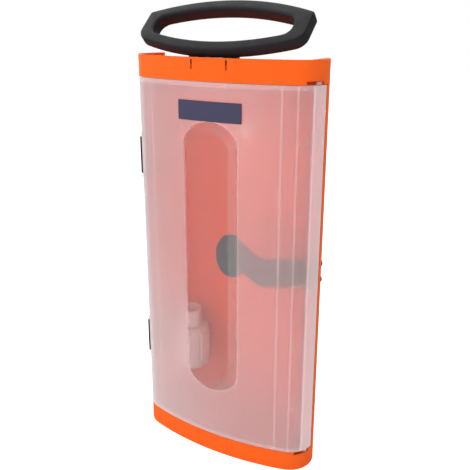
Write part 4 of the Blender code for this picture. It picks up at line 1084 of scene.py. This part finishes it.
@dataclass
class Strap:
    """The moulded rubber strap with its paddle, and the plate that clamps it."""

    palette: Palette
    centre_z: float = 0.2305
    half_height: float = 0.0160
    thickness: float = 0.0030
    paddle_x: float = 0.0205
    paddle_half_length: float = 0.0175
    paddle_half_height: float = 0.0240
    paddle_thickness: float = 0.0042
    paddle_rise: float = 0.0155
    rise_span: tuple[float, float] = (0.0300, 0.0580)
    thin_span: tuple[float, float] = (0.0330, 0.0450)
    blunt: int = 8
    ridge_pitch: float = 0.0035
    ridge_reach: float = 0.0080
    ridge_share: float = 0.2
    web: float = 0.72
    web_starts: tuple[float, float] = (0.0030, 0.0038)
    least_half: float = 0.0040
    paddle_steps: int = 36
    band_steps: int = 8
    anchor_steps: int = 4
    wall_radius: float = 0.0246
    anchor_bearings: tuple[float, float] = (20.0, 48.0)
    way: tuple[Point, ...] = (
        (0.0030, -0.0301),
        (0.0205, -0.0289),
        (0.0336, -0.0280),
        (0.0468, -0.0256),
        (0.0580, -0.0196),
        (0.0767, -0.0096),
        (0.0909, 0.0009),
        (0.0986, 0.0039),
        (0.1026, 0.0056),
    )
    # Distance from the rim in metres, and the share of the thickness there: a rim bead round a web
    rim: tuple[Point, ...] = ((0.0, 0.0), (0.0002, 0.5), (0.0006, 0.86), (0.0012, 1.0), (0.0020, 0.95))

    def route(self) -> list[Vector]:
        """Give the middle line in plan, from the paddle's tip to the wall.

        Returns:
            Points about half a millimetre apart on the paddle and 2 mm apart behind it.
        """
        knots = [Vector((x, y, 0.0)) for x, y in self.way]
        start, end = self.anchor_bearings
        for i in range(self.anchor_steps + 1):
            bearing = math.radians(start + (end - start) * i / self.anchor_steps)
            x = PLAN.corner_x + self.wall_radius * math.cos(bearing)
            knots.append(Vector((x, self.wall_radius * math.sin(bearing), 0.0)))
        last = len(knots) - 1
        slopes = [(knots[min(i + 1, last)] - knots[max(i - 1, 0)]).normalized() for i in range(last + 1)]
        points: list[Vector] = []
        for i in range(last):
            reach = (knots[i + 1] - knots[i]).length / 3
            handles = knots[i] + slopes[i] * reach, knots[i + 1] - slopes[i + 1] * reach
            steps = self.paddle_steps if i < 2 else self.band_steps
            points.extend(interpolate_bezier(knots[i], *handles, knots[i + 1], steps + 1)[:-1])
        return points + [knots[last]]

    def half_at(self, x: float) -> float:
        """Give half the strap's height: a round paddle that runs into an even band.

        Args:
            x: Place along the case.

        Returns:
            Half the height in metres.
        """
        share = (x - self.way[0][0]) / self.paddle_half_length
        if share > 2:
            return self.half_height
        disc = self.paddle_half_height * math.sqrt(max(1 - (1 - share) ** 2, 0.0))
        band = self.half_height * eased(share, 0.5, 1.2)
        return (disc**self.blunt + band**self.blunt) ** (1 / self.blunt)

    def build_band(self) -> None:
        """Build the strap: a beaded rim round a thinner web, and ridges for the thumb."""
        route = self.route()
        rings = []
        for index in range(1, len(route)):
            point = route[index]
            ahead = (route[min(index + 1, len(route) - 1)] - route[index - 1]).normalized()
            across = Vector((-ahead.y, ahead.x, 0.0))
            half = self.half_at(point.x)
            thinned = eased(point.x, *self.thin_span)
            thick = (self.paddle_thickness * (1 - thinned) + self.thickness * thinned) / 2
            middle = self.centre_z + self.paddle_rise * (1 - eased(point.x, *self.rise_span))
            away = point.x - self.paddle_x
            ridge = max(math.cos(2 * math.pi * away / self.ridge_pitch), 0.0)
            fade = 1 - eased(abs(away), self.ridge_reach, self.ridge_reach * 1.2)
            web = self.web + self.ridge_share * ridge * fade
            scale = min(half / self.least_half, 1.0)
            stations = self.rim + ((self.web_starts[0], self.web), (self.web_starts[1], web))
            side = [(half - inset * scale, share) for inset, share in stations] + [(0.0, web)]
            side += [(-height, share) for height, share in reversed(side[:-1])]
            ring = side + [(height, -share) for height, share in reversed(side[1:-1])]
            rings.append([point + across * thick * share + Vector((0, 0, middle + h)) for h, share in ring])
        band = object_from("retaining_strap_moulded", skin(rings))
        add_piece(band, self.palette.get(BLACK_RUBBER), Body.CASE, ["retaining_strap"])

    def dress(self) -> None:
        """Build the strap and dress its plate."""
        self.build_band()
        dress_node("strap_anchor_plate", self.palette.get(RIVET_ALUMINIUM), EdgeRound(0.0002))


@dataclass
class Fasteners:
    """The screws of the caps and the bracket, and the rivets of the clip and the strap."""

    palette: Palette
    head_radius: float = 0.0029
    head_height: float = 0.0018
    shank_radius: float = 0.0014
    shank_length: float = 0.0072
    brim: float = 0.0007
    crown: float = 0.0012
    tip_radius: float = 0.0007
    gap: float = 0.0003
    cap_screw_x: float = 0.0600
    cross_width: float = 0.0005
    cross_reach: float = 0.0014
    cross_depth: float = 0.0010
    cross_taper: float = 0.55

    def build_screw(self, name: str) -> None:
        """Build one pan-head screw with a cross recess, standing on the shell's bowed back.

        Args:
            name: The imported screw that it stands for.
        """
        low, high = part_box(name)
        x = self.side_of(name) * self.cap_screw_x
        rise = math.sqrt(PLAN.bow**2 - x**2)
        outward = Vector((x, rise, 0.0)).normalized()
        foot = Vector((x, rise - PLAN.bow + PLAN.depth / 2, (low.z + high.z) / 2))
        place = Matrix.Translation(foot) @ outward.to_track_quat("Z", "Y").to_matrix().to_4x4()
        top = self.gap + self.head_height
        tip = self.gap - self.shank_length
        brim = self.gap + self.brim
        profile: list[Point] = [
            (self.tip_radius, tip),
            (self.shank_radius, tip + 0.0012),
            (self.shank_radius, self.gap),
            (self.head_radius - 0.0002, self.gap),
            (self.head_radius, self.gap + 0.0002),
            (self.head_radius, brim),
        ]
        for s, c in quarter(6)[1:6]:
            profile.append((self.crown + (self.head_radius - self.crown) * c, brim + (top - brim) * s))
        screw = object_from(f"{name}_cross_head", place_mesh(lathe(profile, 48), place))
        corners = ((-1, -1), (1, -1), (1, 1), (-1, 1))
        levels = ((self.cross_taper, top - self.cross_depth), (1.0, top + 0.0004))
        for wide, deep in ((self.cross_reach, self.cross_width), (self.cross_width, self.cross_reach)):
            rings = []
            for share, level in levels:
                rings.append([Vector((wide * share * a, deep * share * b, level)) for a, b in corners])
            subtract(screw, object_from("cross_tool", place_mesh(skin(rings), place)))
        add_piece(screw, self.palette.get(ZINC_STEEL), Body.CASE, [name])

    def side_of(self, name: str) -> int:
        """Give which way along X a left or right piece lies."""
        return -1 if name.endswith("left") else 1

    def dress(self) -> None:
        """Build or dress every fastener."""
        steel = self.palette.get(ZINC_STEEL)
        metal = self.palette.get(RIVET_ALUMINIUM)
        for side in ("left", "right"):
            self.build_screw(f"top_cap_screw_{side}")
            self.build_screw(f"bottom_cap_screw_{side}")
            dress_node(f"bracket_screw_{side}", steel, EdgeRound(0.0001))
        for end in ("lower", "upper"):
            for owner in ("clip", "strap"):
                dress_node(f"{owner}_rivet_{end}", metal, EdgeRound(0.0001))


# ---------------------------------------------------------------- studio


@dataclass(frozen=True)
class StudioCamera:
    """The camera that frames the case from its front right."""

    place: tuple[float, float, float] = (0.3574, -0.5862, 0.4853)
    yaw: float = math.radians(30.8155)
    pitch: float = math.radians(18.3549)
    roll: float = math.radians(0.1239)
    lens: float = 49.805
    sensor: float = 36.0

    def build(self) -> None:
        """Make the camera and make it the scene's own."""
        data = bpy.data.cameras.new("studio_camera")
        data.lens = self.lens
        data.sensor_width = self.sensor
        data.clip_start = 0.01
        data.clip_end = 50.0
        camera = bpy.data.objects.new("studio_camera", data)
        bpy.context.scene.collection.objects.link(camera)
        turn = Matrix.Rotation(self.yaw, 4, "Z") @ Matrix.Rotation(math.pi / 2 - self.pitch, 4, "X")
        camera.matrix_world = Matrix.Translation(self.place) @ turn @ Matrix.Rotation(self.roll, 4, "Z")
        bpy.context.scene.camera = camera


@dataclass(frozen=True)
class Lamp:
    """One soft rectangular lamp."""

    name: str
    place: tuple[float, float, float]
    size: float
    watts: float
    aim: tuple[float, float, float] = (0.0, 0.0, 0.23)

    def build(self) -> None:
        """Hang the lamp and point it; a gloss sees the room's backdrop in its stead."""
        data = bpy.data.lights.new(self.name, "AREA")
        data.shape = "SQUARE"
        data.size = self.size
        data.energy = self.watts
        lamp = bpy.data.objects.new(self.name, data)
        bpy.context.scene.collection.objects.link(lamp)
        lamp.location = self.place
        lamp.visible_glossy = False
        direction = Vector(self.aim) - Vector(self.place)
        lamp.rotation_euler = direction.to_track_quat("-Z", "Y").to_euler()


@dataclass(frozen=True)
class Studio:
    """The pale room: world, floor, lamps and camera."""

    dim_side: float = 0.62
    bright_side: float = 1.02
    dim_gloss: float = 0.07
    bright_gloss: float = 1.0
    towards_light: tuple[float, float, float] = (-0.75, 0.35, 0.56)
    floor_paint: float = 0.88
    floor_in_gloss: float = 0.08
    floor_glow: float = 0.58
    floor_bounce: float = 0.12
    floor_size: float = 12.0
    lamps: tuple[Lamp, ...] = (
        Lamp("key_softbox", (-0.8, -2.2, 0.6), 1.4, 20.0),
        Lamp("fill_softbox", (1.9, -1.2, 0.9), 1.4, 1.0),
        Lamp("top_softbox", (0.1, 0.2, 2.4), 1.2, 5.0),
    )

    def build_world(self) -> None:
        """Make the backdrop white where it is seen and softer as a light.

        A gloss sees the white backdrop behind the case and the darker room in front of it.
        """
        world = bpy.data.worlds.new("studio_world")
        world.use_nodes = True
        tree = world.node_tree
        path = add_node(tree, "ShaderNodeLightPath")
        camera, glossy, passing = [
            Field(tree, path.outputs[f"Is {kind} Ray"]) for kind in ("Camera", "Glossy", "Transmission")
        ]
        facing = add_node(
            tree,
            "ShaderNodeVectorMath",
            {1: self.towards_light},
            {0: add_node(tree, "ShaderNodeTexCoord").outputs["Generated"]},
            operation="DOT_PRODUCT",
        )
        side = Field(tree, facing.outputs["Value"])
        plain = side.ramp(-0.8, 0.8, self.dim_side, self.bright_side)
        gloss = side.ramp(-0.1, 0.8, self.dim_gloss, self.bright_gloss)
        seen = camera.math("MAXIMUM", passing)
        strength = seen.blend(glossy.blend(plain, gloss), 1.0)
        background = tree.nodes["Background"]
        background.inputs["Color"].default_value = (1.0, 1.0, 1.0, 1.0)
        tree.links.new(strength.socket, background.inputs["Strength"])
        # Every ray finds the world by itself, so that each kind of ray sees its own strength
        world.cycles.sampling_method = "NONE"
        bpy.context.scene.world = world

    def build_floor(self) -> None:
        """Make the pale floor, which keeps the case's shadow."""
        builder = bmesh.new()
        half = self.floor_size / 2
        corners = [(-half, -half), (half, -half), (half, half), (-half, half)]
        builder.faces.new([builder.verts.new((x, y, 0.0)) for x, y in corners])
        mesh = bpy.data.meshes.new("studio_floor")
        builder.to_mesh(mesh)
        builder.free()
        floor = bpy.data.objects.new("studio_floor", mesh)
        bpy.context.scene.collection.objects.link(floor)
        material = bpy.data.materials.new("studio_floor")
        material.use_nodes = True
        tree = material.node_tree
        tree.nodes.clear()
        path = add_node(tree, "ShaderNodeLightPath")
        kinds = ("Camera", "Glossy", "Transmission")
        camera, glossy, passing = [Field(tree, path.outputs[f"Is {kind} Ray"]) for kind in kinds]
        mirrored = (glossy - passing).math("MAXIMUM", 0.0)
        shade = mirrored.ramp(0.0, 1.0, self.floor_paint, self.floor_in_gloss)
        paint = add_node(tree, "ShaderNodeBsdfDiffuse", links={"Color": shade.socket})
        seen = camera.math("MAXIMUM", passing)
        light = seen.ramp(0.0, 1.0, self.floor_bounce, self.floor_glow)
        glow = add_node(tree, "ShaderNodeEmission", links={"Strength": light.socket})
        both = add_node(
            tree, "ShaderNodeAddShader", links={0: paint.outputs["BSDF"], 1: glow.outputs["Emission"]}
        )
        add_node(tree, "ShaderNodeOutputMaterial", links={"Surface": both.outputs["Shader"]})
        mesh.materials.append(material)

    def build(self) -> None:
        """Set up the whole room."""
        bpy.context.scene.view_settings.view_transform = "Standard"
        self.build_world()
        self.build_floor()
        for lamp in self.lamps:
            lamp.build()
        StudioCamera().build()


def main() -> None:
    """Build the room and every sub-assembly in order."""
    logging.basicConfig(level=logging.INFO, format="%(message)s")
    Studio().build()
    palette = Palette()
    Shell(palette).dress()
    door = Door(palette)
    door.dress()
    door.build_label()
    door.build_gate_mark()
    Latches(palette).dress()
    Handle(palette).dress()
    PowderBottle(palette).build()
    Strap(palette).dress()
    Fasteners(palette).dress()


if __name__ == "__main__":
    main()
